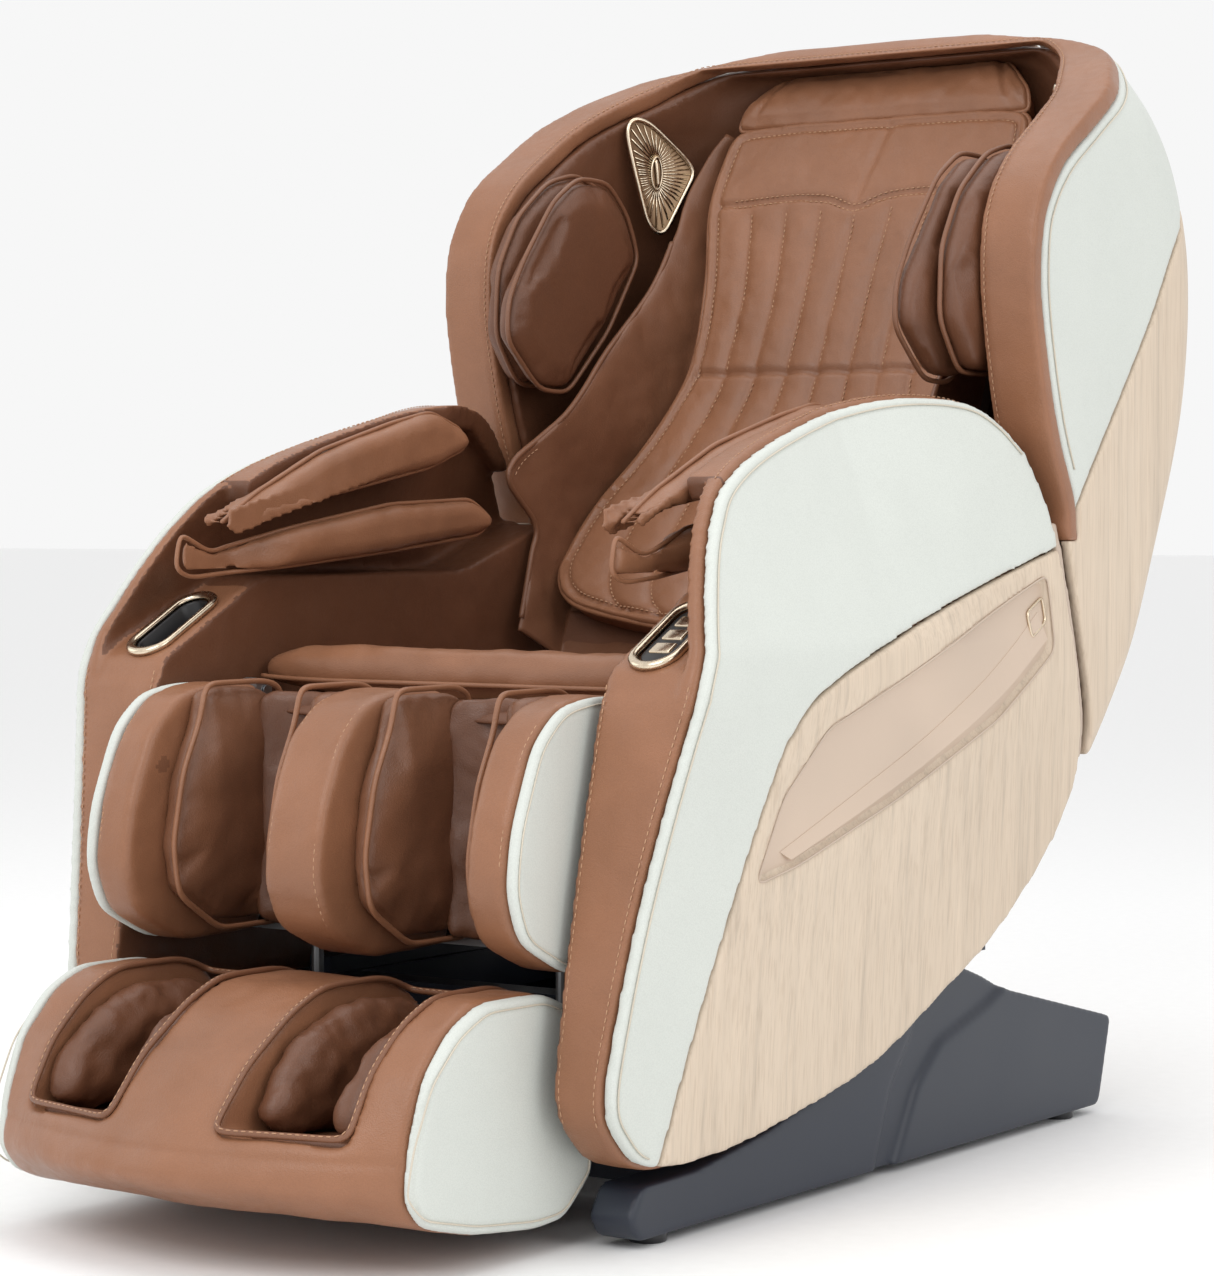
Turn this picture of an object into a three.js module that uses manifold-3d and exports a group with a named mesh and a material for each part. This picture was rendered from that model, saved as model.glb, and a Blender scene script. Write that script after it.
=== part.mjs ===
// Full-body massage chair: a sliding base, a tilting seat with two padded arms, a hooded backrest
// with a roller carriage, a calf rest and a sliding footrest.  Millimetres, +Z up, the sitter faces -Y,
// the sitter's left is +X.
import * as THREE from 'three';
import { mergeVertices } from 'three/addons/utils/BufferGeometryUtils.js';
import Module from 'manifold-3d';

const wasm = await Module();
wasm.setup();

// Driving dimensions
const HALF_WIDTH = 381;
const HALF_LENGTH = 687;
const HEIGHT = 1218;
const GAP = 0.4;
const PANEL = 13;
const SHELL_GAP = 5;
const ARM_INNER = 268;
const SEAT_HALF = 262;
const FLAP_INNER = 226;
const BASE_HALF = 309;
const FOOT_PAD = 8;
const BACK_LEAN = Math.PI / 6;
const BACK_PIVOT = [288, 382];
const TILT_PIVOT = [208, 262];
const KNEE_PIVOT = [-257, 490];
const SHELF_SLOPE = 0.4974;
const SHELF_CENTRE = [306, -293, 555];
const ROUND = 14;

const FINISH = {
  leather: { color: 0x9a5f40, roughness: 0.5, metalness: 0 },
  dark_leather: { color: 0x6f4230, roughness: 0.55, metalness: 0 },
  white: { color: 0xdde0d8, roughness: 0.6, metalness: 0 },
  wood: { color: 0xd5c0a8, roughness: 0.6, metalness: 0 },
  navy: { color: 0x3b4150, roughness: 0.5, metalness: 0 },
  taupe: { color: 0xc2ab97, roughness: 0.55, metalness: 0 },
  gold: { color: 0xcbb084, roughness: 0.25, metalness: 0.9 },
  bronze: { color: 0x9a7a58, roughness: 0.35, metalness: 0.8 },
  black: { color: 0x1d1d20, roughness: 0.5, metalness: 0 },
  steel: { color: 0x8f9396, roughness: 0.4, metalness: 0.8 },
};

const chair = new THREE.Group();

// Solids and meshes

function toSolid(geometry) {
  const bare = new THREE.BufferGeometry();
  bare.setAttribute('position', geometry.getAttribute('position'));
  bare.setIndex(geometry.getIndex());
  const merged = mergeVertices(bare, 1e-4);
  return new wasm.Manifold(new wasm.Mesh({
    numProp: 3,
    vertProperties: new Float32Array(merged.getAttribute('position').array),
    triVerts: new Uint32Array(merged.getIndex().array),
  }));
}

function toGeometry(solid) {
  const mesh = solid.getMesh();
  const geometry = new THREE.BufferGeometry();
  geometry.setAttribute('position', new THREE.BufferAttribute(new Float32Array(mesh.vertProperties), 3));
  geometry.setIndex(new THREE.BufferAttribute(new Uint32Array(mesh.triVerts), 1));
  return geometry;
}

function mirrored(geometry) {
  const copy = geometry.clone();
  copy.scale(-1, 1, 1);
  const index = copy.getIndex().array;
  for (let i = 0; i < index.length; i += 3) {
    [index[i], index[i + 1]] = [index[i + 1], index[i]];
  }
  return copy;
}

function add(name, shape, finish, parent = chair) {
  const geometry = shape.isBufferGeometry ? shape : toGeometry(shape);
  geometry.computeVertexNormals();
  const mesh = new THREE.Mesh(geometry, new THREE.MeshStandardMaterial(FINISH[finish]));
  mesh.name = name;
  parent.add(mesh);
  return mesh;
}

function addPair(name, shape, finish, parent = chair) {
  const geometry = shape.isBufferGeometry ? shape : toGeometry(shape);
  add(`${name}_left`, geometry, finish, parent);
  add(`${name}_right`, mirrored(geometry), finish, parent);
}

// A skin over rings of equal point count, closed by a flat cap at each end.
function loft(rings) {
  const count = rings[0].length;
  const positions = rings.flat().flatMap((point) => [point[0], point[1], point[2]]);
  const index = [];
  for (let r = 0; r + 1 < rings.length; r += 1) {
    for (let i = 0; i < count; i += 1) {
      const j = (i + 1) % count;
      const a = r * count + i;
      const b = r * count + j;
      index.push(a, b, b + count, a, b + count, a + count);
    }
  }
  const cap = capTriangles(rings[0]);
  const last = (rings.length - 1) * count;
  for (const [a, b, c] of cap) {
    index.push(c, b, a);
  }
  for (const [a, b, c] of capTriangles(rings[rings.length - 1])) {
    index.push(last + a, last + b, last + c);
  }
  const geometry = new THREE.BufferGeometry();
  geometry.setAttribute('position', new THREE.BufferAttribute(new Float32Array(positions), 3));
  geometry.setIndex(index);
  const solid = toSolid(geometry);
  return solid.volume() < 0 ? toSolid(flipped(geometry)) : solid;
}

function flipped(geometry) {
  const index = Array.from(geometry.getIndex().array);
  for (let i = 0; i < index.length; i += 3) {
    [index[i], index[i + 1]] = [index[i + 1], index[i]];
  }
  geometry.setIndex(index);
  return geometry;
}

function capTriangles(ring) {
  const spans = [0, 1, 2].map((k) => {
    const values = ring.map((point) => point[k]);
    return Math.max(...values) - Math.min(...values);
  });
  const thin = spans.indexOf(Math.min(...spans));
  const [u, v] = [(thin + 1) % 3, (thin + 2) % 3];
  const flat = ring.map((point) => new THREE.Vector2(point[u], point[v]));
  const turn = THREE.ShapeUtils.isClockWise(flat);
  const triangles = THREE.ShapeUtils.triangulateShape(turn ? flat.slice().reverse() : flat, []);
  const back = (i) => (turn ? ring.length - 1 - i : i);
  return triangles.map(([a, b, c]) => {
    const face = [back(a), back(b), back(c)];
    return turn ? face.reverse() : face;
  });
}

// A (y, z) outline carried along x.
function prism(outline, x0, x1) {
  return loft([x0, x1].map((x) => outline.map(([y, z]) => [x, y, z])));
}

function box(x0, x1, y0, y1, z0, z1) {
  const shape = new THREE.BoxGeometry(x1 - x0, y1 - y0, z1 - z0);
  shape.translate((x0 + x1) / 2, (y0 + y1) / 2, (z0 + z1) / 2);
  return toSolid(shape);
}

// A round bar between two points on a line along one axis.
function bar(axis, radius, from, to) {
  const length = Math.hypot(to[0] - from[0], to[1] - from[1], to[2] - from[2]);
  const shape = new THREE.CylinderGeometry(radius, radius, length, ROUND);
  if (axis === 'x') shape.rotateZ(Math.PI / 2);
  if (axis === 'z') shape.rotateX(Math.PI / 2);
  shape.translate((from[0] + to[0]) / 2, (from[1] + to[1]) / 2, (from[2] + to[2]) / 2);
  return toSolid(shape);
}

function union(...solids) {
  return solids.reduce((whole, solid) => whole.add(solid));
}

// An eight-sided section: a rectangle (a0..a1 by b0..b1) with its corners cut back.
function cutRectangle(a0, a1, b0, b1, cut) {
  return [
    [a0 + cut, b0], [a1 - cut, b0], [a1, b0 + cut], [a1, b1 - cut],
    [a1 - cut, b1], [a0 + cut, b1], [a0, b1 - cut], [a0, b0 + cut],
  ];
}

// A padded slab standing on a (y, z) outline: its edges are drawn in at both faces.
function paddedSlab(outline, x0, x1, crown) {
  const middle = [0, 1].map((k) => outline.reduce((sum, point) => sum + point[k] / outline.length, 0));
  const drawn = outline.map(([y, z]) => {
    const reach = Math.hypot(y - middle[0], z - middle[1]);
    const keep = (reach - crown) / reach;
    return [middle[0] + (y - middle[0]) * keep, middle[1] + (z - middle[1]) * keep];
  });
  const inner = x0 + crown * 0.7;
  const outer = x1 - crown * 0.7;
  const rings = [[x0, drawn], [inner, outline], [outer, outline], [x1, drawn]];
  return loft(rings.map(([x, ring]) => ring.map(([y, z]) => [x, y, z])));
}

// Arms: the outer face swells like a barrel, narrower at the bottom front and along the crest.

function armHalfWidth(y, z) {
  const low = z < 500 ? 55 * (1 - (z / 500) ** 2) * (0.55 - 0.00107 * y) : 0;
  const high = z > 540 ? 0.37 * (z - 540) * Math.min(1, 1 - y / 380) : 0;
  return HALF_WIDTH - low - high;
}

function barrel(inset) {
  const rings = [];
  const steps = 9;
  for (let j = 0; j <= steps; j += 1) {
    const z = 40 + (790 * j) / steps;
    const ring = [];
    for (let i = 0; i <= steps; i += 1) {
      const y = 420 - (900 * i) / steps;
      ring.push([armHalfWidth(y, z) - inset, y, z]);
    }
    ring.push([150, -480, z], [150, 420, z]);
    rings.push(ring);
  }
  return loft(rings);
}

const ARM_TOP = [
  [-421, 235], [-402, 332], [-367, 480], [-351, 530], [-333, 570], [-300, 626], [-271, 662],
  [-230, 697], [-146, 732], [-3, 770], [100, 787], [190, 786], [240, 768], [283, 734],
];
const ARM_REAR = [[322, 662], [345, 577], [374, 471], [377, 425], [366, 376]];
const ARM_BOTTOM = [
  [305, 307], [208, 234], [113, 185], [-10, 128], [-139, 96], [-261, 76], [-366, 77], [-412, 106], [-433, 148],
];
const ARM_OUTLINE = [...ARM_TOP, ...ARM_REAR, ...ARM_BOTTOM];
const WOOD_EDGE = [[-350, 92], [-228, 406], [-193, 468], [-146, 503], [-15, 546], [331, 634]];
const TRAY_OUTLINE = [
  [-233, 325], [-202, 404], [-138, 465], [301, 605], [309, 526], [192, 459], [7, 391], [-165, 338],
];
const SLOT_OUTLINE = [
  [-430, 480], [-358, 500], [-350, 524], [-232, 588], [-205, 604], [150, 608], [290, 655], [420, 690],
  [420, 716], [275, 716], [190, 762], [100, 765], [-3, 748], [-146, 710], [-215, 676], [-236, 740], [-430, 740],
];

function insideOf(outline, inset) {
  return outline.map(([y, z]) => {
    const reach = Math.hypot(y + 20, z - 430);
    return [y - ((y + 20) / reach) * inset, z - ((z - 430) / reach) * inset];
  });
}

const barrelOuter = barrel(0);
const barrelUnderPanel = barrel(PANEL);
const barrelCore = barrel(PANEL + GAP);
const barrelWall = barrel(PANEL + 16);
const armSkin = barrelOuter.subtract(barrelUnderPanel);
const armTrim = prism(insideOf(ARM_OUTLINE, 3), 200, 400);
const aboveWood = prism([...WOOD_EDGE, [331, 900], [-600, 900], [-600, 40], [-375, 40]], 200, 400);
const belowWood = prism([
  ...WOOD_EDGE.map(([y, z]) => [y + 1.4, z - 1.6]), [420, 655], [420, 40], [-371, 40],
], 200, 400);

function shelfFrame(solid, side) {
  const turn = new THREE.Matrix4().makeRotationX(SHELF_SLOPE);
  turn.setPosition(side * SHELF_CENTRE[0], SHELF_CENTRE[1], SHELF_CENTRE[2]);
  const shape = toGeometry(solid);
  shape.applyMatrix4(turn);
  return toSolid(shape);
}

// A slot-shaped plate in the shelf's own plane, long along the slope.
function stadium(halfLong, halfWide, z0, z1) {
  const outline = new THREE.Shape();
  outline.absarc(0, halfLong - halfWide, halfWide, 0, Math.PI);
  outline.absarc(0, halfWide - halfLong, halfWide, Math.PI, 2 * Math.PI);
  const ring = outline.getPoints(8).slice(0, -1);
  const rings = [z0, z1].map((z) => ring.map((point) => [point.x, point.y, z]));
  return loft(rings);
}

function buildArms() {
  const slot = prism(SLOT_OUTLINE, 150, 400).intersect(barrelWall);
  const pocket = shelfFrame(box(-60, 23, -55, 55, -38, 20), 1);
  const core = prism(ARM_OUTLINE, ARM_INNER, 400).intersect(barrelCore).subtract(slot).subtract(pocket);
  addPair('arm_core', core, 'leather');
  addPair('arm_panel', armSkin.intersect(armTrim).intersect(aboveWood), 'white');
  const tray = prism(TRAY_OUTLINE, 200, 400).subtract(barrel(8));
  addPair('arm_side_panel', armSkin.intersect(armTrim).intersect(belowWood).subtract(tray), 'wood');
  const upperFlap = [
    [-296, 657], [-239, 690], [-135, 735], [-17, 766], [53, 780], [110, 762], [119, 741], [52, 718], [-102, 690],
    [-247, 670],
  ];
  const lowerFlap = [
    [-339, 612], [-331, 650], [-286, 630], [-184, 655], [-18, 680], [125, 686], [165, 664], [143, 645], [-18, 628],
    [-184, 614], [-316, 603],
  ];
  addPair('forearm_flap_upper', prism(upperFlap, FLAP_INNER, ARM_INNER - 1), 'leather');
  const besideCalf = loft([400, 800].map((z) => [
    [150, -400, z], [SEAT_HALF - 2, -400, z], [SEAT_HALF - 2, -262, z], [FLAP_INNER - 1, -190, z], [150, -190, z],
  ]));
  addPair('forearm_flap_lower', prism(lowerFlap, FLAP_INNER, ARM_INNER - 1).subtract(besideCalf), 'leather');
}

function buildShelves() {
  const ring = stadium(62, 27, GAP, 7).subtract(stadium(51.5, 19, -2, 10));
  for (const [side, word] of [[1, 'left'], [-1, 'right']]) {
    add(`bezel_${word}`, shelfFrame(ring, side), 'gold');
  }
  const keyPlaces = [-24, 0, 24];
  let panel = stadium(49, 17.2, -12, 2);
  for (const place of keyPlaces) {
    panel = panel.subtract(box(-12, 12, place - 9, place + 9, -6, 10));
  }
  add('control_panel', shelfFrame(panel, 1), 'black');
  keyPlaces.forEach((place, i) => {
    const key = box(-11.5, 11.5, place - 8.5, place + 8.5, -3.5, 3.5);
    add(`control_key_${i + 1}`, shelfFrame(key, 1), 'gold');
  });
  const liner = stadium(49, 17.2, -33, 0).subtract(stadium(47, 15.2, -31, 5));
  add('pocket_liner', shelfFrame(liner, -1), 'black');
}

// Backrest hood: level sections with a round rear, wide corners low down and a full dome on top.
// Each level gives its height, rear reach, half-width, and the corner's width and depth.

const HOOD_LEVELS = [
  [400, 440, 381, 80, 80], [458, 497, 381, 80, 80], [532, 557, 381, 80, 80], [629, 605, 381, 80, 80],
  [739, 654, 381, 80, 80], [818, 678, 381, 80, 80], [908, HALF_LENGTH, 381, 80, 80],
  [984, HALF_LENGTH, 381, 80, 101], [1058, HALF_LENGTH, 381, 100, 170], [1109, 686, 381, 125, 277],
  [1145, 683, 381, 150, 410], [1180, 676, 375, 190, 470], [1202, 664, 345, 250, 480], [HEIGHT, 640, 250, 220, 420],
];
const CAVITY_LEVELS = [
  [380, 380, 316, 60, 60], [458, 452, 316, 70, 70], [532, 512, 316, 80, 80], [629, 560, 316, 85, 90],
  [739, 609, 316, 90, 100], [818, 633, 316, 90, 115], [908, 642, 316, 90, 130], [984, 646, 316, 95, 160],
  [1058, 650, 316, 110, 215], [1109, 652, 316, 125, 270], [1145, 652, 312, 140, 340], [1180, 650, 305, 150, 380],
  [1198, 642, 290, 150, 380],
];
const HOOD_FRONT = [
  [392, 412], [391, 471], [360, 577], [338, 650], [336, 672], [295, 755], [265, 858], [258, 929], [270, 991],
  [314, 1047], [382, 1094], [464, 1145], [540, 1185], [604, 1230],
];

function domeSection([z, rear, half, cornerWidth, cornerDepth], inset) {
  const w = half - inset;
  const y = rear - inset;
  const a = cornerWidth - inset * 0.5;
  const b = cornerDepth - inset * 0.5;
  const corners = 5;
  const arc = Array.from({ length: corners + 1 }, (_, i) => {
    const turn = (Math.PI / 2) * (i / corners);
    return [w - a + a * Math.cos(turn), y - b + b * Math.sin(turn), z];
  });
  return [[-w, 100, z], [w, 100, z], ...arc, ...arc.map(([px, py]) => [-px, py, z]).reverse()];
}

function dome(levels, inset) {
  const rings = levels.map((level) => domeSection(level, inset));
  rings[rings.length - 1] = rings[rings.length - 1].map(([x, y, z]) => [x, y, z - inset]);
  return loft(rings);
}

function frontCut(offset) {
  const edge = HOOD_FRONT.map(([y, z], i) => {
    const [y0, z0] = HOOD_FRONT[Math.max(0, i - 1)];
    const [y1, z1] = HOOD_FRONT[Math.min(HOOD_FRONT.length - 1, i + 1)];
    const length = Math.hypot(y1 - y0, z1 - z0);
    return [y + ((z1 - z0) / length) * offset, z - ((y1 - y0) / length) * offset];
  });
  return prism([...edge, [900, 1240], [900, 380], [edge[0][0], 380]], -500, 500);
}

function buildHood() {
  const outer = dome(HOOD_LEVELS, 0);
  const floor = box(-500, 500, 0, 900, 412, 1300);
  const skin = outer.subtract(dome(HOOD_LEVELS, PANEL)).intersect(floor);
  const cavity = dome(CAVITY_LEVELS, 0);
  const aboveArm = box(-500, 500, 0, 900, 640, 1300);
  const besideArm = box(-500, 500, 0, 900, 300, 640 - GAP);
  const rim = outer.intersect(frontCut(0)).intersect(aboveArm).subtract(frontCut(22)).subtract(cavity);
  add('hood_rim', rim, 'leather');
  const behind = union(frontCut(22 + GAP), frontCut(0).intersect(besideArm));
  const shell = dome(HOOD_LEVELS, PANEL + SHELL_GAP).intersect(floor).intersect(behind).subtract(cavity);
  add('hood_shell', shell, 'dark_leather');
  const rearHalf = 200;
  const side = box(rearHalf, 500, 0, 900, 300, 1300);
  const behindRim = frontCut(22 + 2 * GAP);
  const lower = frontCut(1).intersect(besideArm);
  const cover = skin.intersect(union(behindRim, lower));
  const woodEdge = [[300, 604], [353, 662], [387, 704], [529, 869], [603, 972], [720, 1110]];
  const wood = prism([...woodEdge, [720, 300], [300, 300]], -500, 500);
  const whiteEdge = woodEdge.map(([y, z]) => [y - 1, z + 1.4]);
  const white = prism([...whiteEdge, [720, 1300], [200, 1300], [200, 604]], -500, 500);
  addPair('hood_panel', cover.intersect(side).intersect(white), 'white');
  addPair('hood_side_panel', cover.intersect(side).intersect(wood), 'wood');
  add('rear_cover', cover.intersect(box(-rearHalf + 1, rearHalf - 1, 0, 900, 300, 1300)), 'taupe');
}

// Backrest insides, in a frame that leans with the back: y is depth to the rear, z runs up the back.

const lean = new THREE.Group();
lean.position.set(0, BACK_PIVOT[0], BACK_PIVOT[1]);
lean.rotation.x = -BACK_LEAN;
chair.add(lean);

function padAlongBack(levels, thickness, cut) {
  return loft(levels.map(([z, half, front]) => (
    cutRectangle(-half, half, front, front + thickness, cut).map(([x, y]) => [x, y, z])
  )));
}

function buildBackPads() {
  const pad = [
    [128, 120, -122], [150, 205, -118], [190, 244, -109], [240, 248, -99], [300, 236, -91], [366, 208, -84],
    [440, 182, -83], [500, 173, -87], [600, 184, -97], [690, 203, -106], [760, 203, -108], [798, 190, -109],
  ];
  add('back_pad', padAlongBack(pad, 38, 8), 'leather', lean);
  const pillow = [[803, 196, -112], [826, 190, -118], [850, 176, -119], [866, 160, -116]];
  add('head_pillow', padAlongBack(pillow, 22, 6), 'leather', lean);
  const lining = [
    [100, 236, -78, -78], [213, 256, -56, -58], [340, 258, -44, -44], [390, 258, -112, -42], [500, 258, -112, -46],
    [640, 250, -110, -61], [690, 240, -108, -66], [760, 230, -106, -68], [798, 214, -104, -70],
  ];
  add('back_lining', loft(lining.map(([z, half, edge, middle]) => {
    const between = (edge + middle) / 2;
    const front = [
      [-half, edge], [-half * 0.93, between], [-half * 0.86, middle],
      [half * 0.86, middle], [half * 0.93, between], [half, edge],
    ];
    const rear = front.map(([x, y]) => [x, y + 16]).reverse();
    return [...front, ...rear].map(([x, y]) => [x, y, z]);
  })), 'leather', lean);
}

function buildMassageTrack() {
  const railX = [150, 170];
  const top = 640;
  let frame = bar('x', 10, [-SEAT_HALF, 0, 0], [SEAT_HALF, 0, 0]);
  for (const side of [-1, 1]) {
    const [x0, x1] = side > 0 ? railX : [-railX[1], -railX[0]];
    frame = frame.add(box(x0, x1, -8, 24, -8, top));
  }
  frame = union(frame, box(-160, 160, 8, 22, 30, 60), box(-160, 160, 8, 22, top - 30, top));
  add('back_frame', frame, 'steel', lean);
  const start = 330;
  const shaftDepth = 2;
  const plate = box(-148, 148, 18, 26, start - 45, start + 45);
  const shaft = bar('x', 7, [-118, shaftDepth, start], [118, shaftDepth, start]);
  const posts = [-112, -60, 60, 112].map((x) => box(x - 5, x + 5, -6, 19, start - 10, start + 10));
  const motor = box(-40, 40, 25, 58, start - 40, start + 40);
  add('massage_carriage', union(plate, shaft, motor, ...posts), 'black', lean);
  const rollerDepth = -2;
  const rollerRise = 56;
  for (const [side, word] of [[1, 'left'], [-1, 'right']]) {
    const x = 86 * side;
    const at = (px) => [px, rollerDepth, start + rollerRise];
    const arm = union(
      bar('x', 13, [x - 10, shaftDepth, start], [x + 10, shaftDepth, start]),
      box(x - 5, x + 5, rollerDepth - 6, rollerDepth + 6, start - 6, start + rollerRise + 6),
      bar('x', 3.5, at(x), at(x + 20 * side)),
    ).subtract(bar('x', 7.6, [x - 30, shaftDepth, start], [x + 30, shaftDepth, start]));
    add(`kneading_arm_${word}`, arm, 'steel', lean);
    const bore = bar('x', 4, at(x), at(x + 25 * side));
    const wheel = bar('x', 16, at(x + 6 * side), at(x + 20 * side)).subtract(bore);
    add(`roller_${word}`, wheel, 'taupe', lean);
  }
}

function buildShoulderPads() {
  const inner = [
    [199, 862], [202, 908], [231, 955], [289, 1026], [338, 1056], [399, 1055], [440, 1020], [464, 969], [400, 880],
    [318, 806], [262, 808],
  ];
  const outer = [
    [228, 870], [232, 946], [270, 1008], [329, 1052], [385, 1066], [440, 1050], [468, 1000], [440, 900], [350, 815],
    [270, 815],
  ];
  const rib = prism([[330, 900], [420, 940], [420, 1010], [330, 1000]], 265, 290);
  const layers = union(paddedSlab(inner, 240, 271, 12), paddedSlab(outer, 274, 314, 12), rib);
  addPair('shoulder_pad', layers, 'leather');
}

function buildSpeakers() {
  const plate = [
    [-51, 5], [-31, 26], [10, 60], [32, 68], [43, 62], [46, 48], [34, -1], [18, -59], [6, -75], [-8, -75], [-17, -57],
  ];
  const shape = loft([0, 7].map((depth) => plate.map(([s, z]) => [-s, depth, z])));
  const wallTurn = Math.PI / 6;
  for (const [side, word] of [[1, 'left'], [-1, 'right']]) {
    const place = new THREE.Matrix4().makeRotationZ(Math.PI / 2 + wallTurn);
    place.setPosition(268, 531, 1076);
    const grille = toGeometry(shape);
    grille.applyMatrix4(place);
    add(`speaker_grille_${word}`, side > 0 ? grille : mirrored(grille), 'bronze');
  }
}

// Seat

function buildSeat() {
  const [pivotY, pivotZ] = BACK_PIVOT;
  const [kneeY, kneeZ] = KNEE_PIVOT;
  const [tiltY, tiltZ] = TILT_PIVOT;
  const plateHalf = 260;
  let frame = box(-plateHalf, plateHalf, -225, 250, 290, 395).subtract(box(-246, 246, -217, 242, 298, 420));
  const earOutline = [[240, 290], [300, 330], [308, 382], [296, 400], [240, 400]];
  const kneeOutline = [[-268, 484], [-246, 498], [-208, 420], [-208, 300], [-224, 300], [-224, 410]];
  for (const side of [-1, 1]) {
    frame = frame.add(prism(earOutline, side > 0 ? 246 : -plateHalf, side > 0 ? plateHalf : -246));
    frame = frame.add(prism(kneeOutline, side > 0 ? 228 : -240, side > 0 ? 240 : -228));
    frame = frame.add(bar('x', 13, [side * 228, kneeY, kneeZ], [side * 240, kneeY, kneeZ]));
    frame = frame.add(bar('x', 6, [side * 212, kneeY, kneeZ], [side * 256, kneeY, kneeZ]));
    frame = frame.add(box(side * 169 - 9, side * 169 + 9, tiltY - 18, tiltY + 18, tiltZ, 292));
    frame = frame.add(bar('x', 18, [side * 160, tiltY, tiltZ], [side * 178, tiltY, tiltZ]));
  }
  frame = frame
    .subtract(bar('x', 10.6, [-300, pivotY, pivotZ], [300, pivotY, pivotZ]))
    .subtract(bar('x', 10.6, [-190, tiltY, tiltZ], [190, tiltY, tiltZ]))
    .subtract(bar('y', 10, [0, -240, 345], [0, -210, 345]));
  add('seat_frame', frame, 'steel');
  const pad = [[-142, 470, 8], [-120, 478, 14], [60, 470, 14], [180, 478, 14], [238, 496, 8]];
  add('seat_pad', loft(pad.map(([y, z, cut]) => (
    cutRectangle(-SEAT_HALF, SEAT_HALF, 402, z, cut).map(([x, height]) => [x, y, height])
  ))), 'dark_leather');
  const roll = Array.from({ length: 12 }, (_, i) => {
    const turn = (Math.PI * 2 * i) / 12;
    return [-184 + 38 * Math.cos(turn), 511 + 26 * Math.sin(turn)];
  });
  add('seat_roll', paddedSlab(roll, -SEAT_HALF, SEAT_HALF, 8), 'leather');
  add('air_pump', box(-210, -100, -70, 60, 298 + GAP, 380), 'black');
  const tube = bar('y', 21, [0, -200, 345], [0, -30, 345]).subtract(bar('y', 8.6, [0, -205, 345], [0, -50, 345]));
  add('legrest_actuator', tube, 'black');
  add('legrest_actuator_rod', bar('y', 8, [0, -236, 345], [0, -60, 345]), 'steel');
}

// Calf rest and footrest

const CALF_OUTLINE = [
  [-276, 252], [-392, 250], [-462, 284], [-480, 332], [-472, 387], [-440, 462], [-402, 494], [-350, 502], [-276, 500],
];
const FOOT_PROFILE = [
  [-337, 64], [-352, 150], [-372, 221], [-415, 237], [-505, 238], [-549, 219], [-591, 181], [-619, 125], [-630, 80],
  [-600, 52], [-520, 34], [-430, 24], [-384, 26],
];

function buildCalfRest() {
  const [kneeY, kneeZ] = KNEE_PIVOT;
  const lugOutline = [[-272, 440], [-262, 440], [-262, 468], [-248, 480], [-248, 500], [-272, 500]];
  let frame = box(-250, 250, -272, -262, 252, 465);
  for (const side of [-1, 1]) {
    for (const [near, far] of [[214, 227], [241, 254]]) {
      const [x0, x1] = side > 0 ? [near, far] : [-far, -near];
      frame = frame.add(prism(lugOutline, x0, x1));
    }
  }
  frame = frame.subtract(bar('x', 6.6, [-300, kneeY, kneeZ], [300, kneeY, kneeZ]));
  add('legrest_frame', frame, 'steel');
  const bag = [
    [-276, 262], [-372, 262], [-432, 300], [-440, 350], [-425, 420], [-400, 470], [-392, 504], [-300, 504], [-276, 496],
  ];
  const outer = union(paddedSlab(CALF_OUTLINE, 200, 245, 10), paddedSlab(bag, 173, 204, 9));
  addPair('calf_pad', outer, 'leather');
  addPair('calf_side', paddedSlab(CALF_OUTLINE, 245 + GAP, 258, 6), 'white');
  const inner = [-1, 1].map((side) => paddedSlab(bag, side > 0 ? 30 : -61, side > 0 ? 61 : -30, 9));
  add('calf_divider', union(paddedSlab(CALF_OUTLINE, -34, 34, 10), ...inner), 'leather');
}

function footSection(x, nose) {
  return FOOT_PROFILE.map(([y, z]) => {
    const reach = Math.max(0, (-500 - y) / 130);
    return [x, y - nose * reach ** 3, z];
  });
}

function buildFootrest() {
  const noseOut = 59.5;
  const stations = [-234, -190, -120, -50, 50, 120, 190, 234];
  const body = loft(stations.map((x) => footSection(x, noseOut * (1 - (x / 240) ** 2))));
  const wellOutline = [
    [-395, 300], [-352, 160], [-372, 108], [-470, 98], [-575, 104], [-625, 120], [-720, 136], [-720, 300],
  ];
  const wells = [-1, 1].map((side) => prism(wellOutline, side > 0 ? 62 : -188, side > 0 ? 188 : -62));
  add('footrest_shell', body.subtract(union(...wells)), 'leather');
  const plate = loft([234 + GAP, 242, 248].map((x) => {
    const keep = x > 245 ? 0.96 : 1;
    return footSection(x, 0).map(([px, y, z]) => [px, -480 + (y + 480) * keep, 130 + (z - 130) * keep]);
  }));
  addPair('foot_side', plate, 'white');
  const slider = union(
    box(-165, 165, -336, -250, 100, 118),
    ...[-150, 150].map((x) => bar('z', 6, [x, -254.5, 105], [x, -254.5, 440])),
  );
  add('footrest_slider', slider.subtract(box(-200, 200, -400, -337 + GAP, 0, 300)), 'steel');
}

// Base

const BASE_PROFILE = [
  [-357, FOOT_PAD + GAP], [-372, 30], [-352, 58], [-261, 60], [-139, 78], [-10, 108], [113, 158], [190, 186],
  [250, 196], [300, 180], [346, 161], [589, 105], [560, FOOT_PAD + GAP],
];

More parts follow.
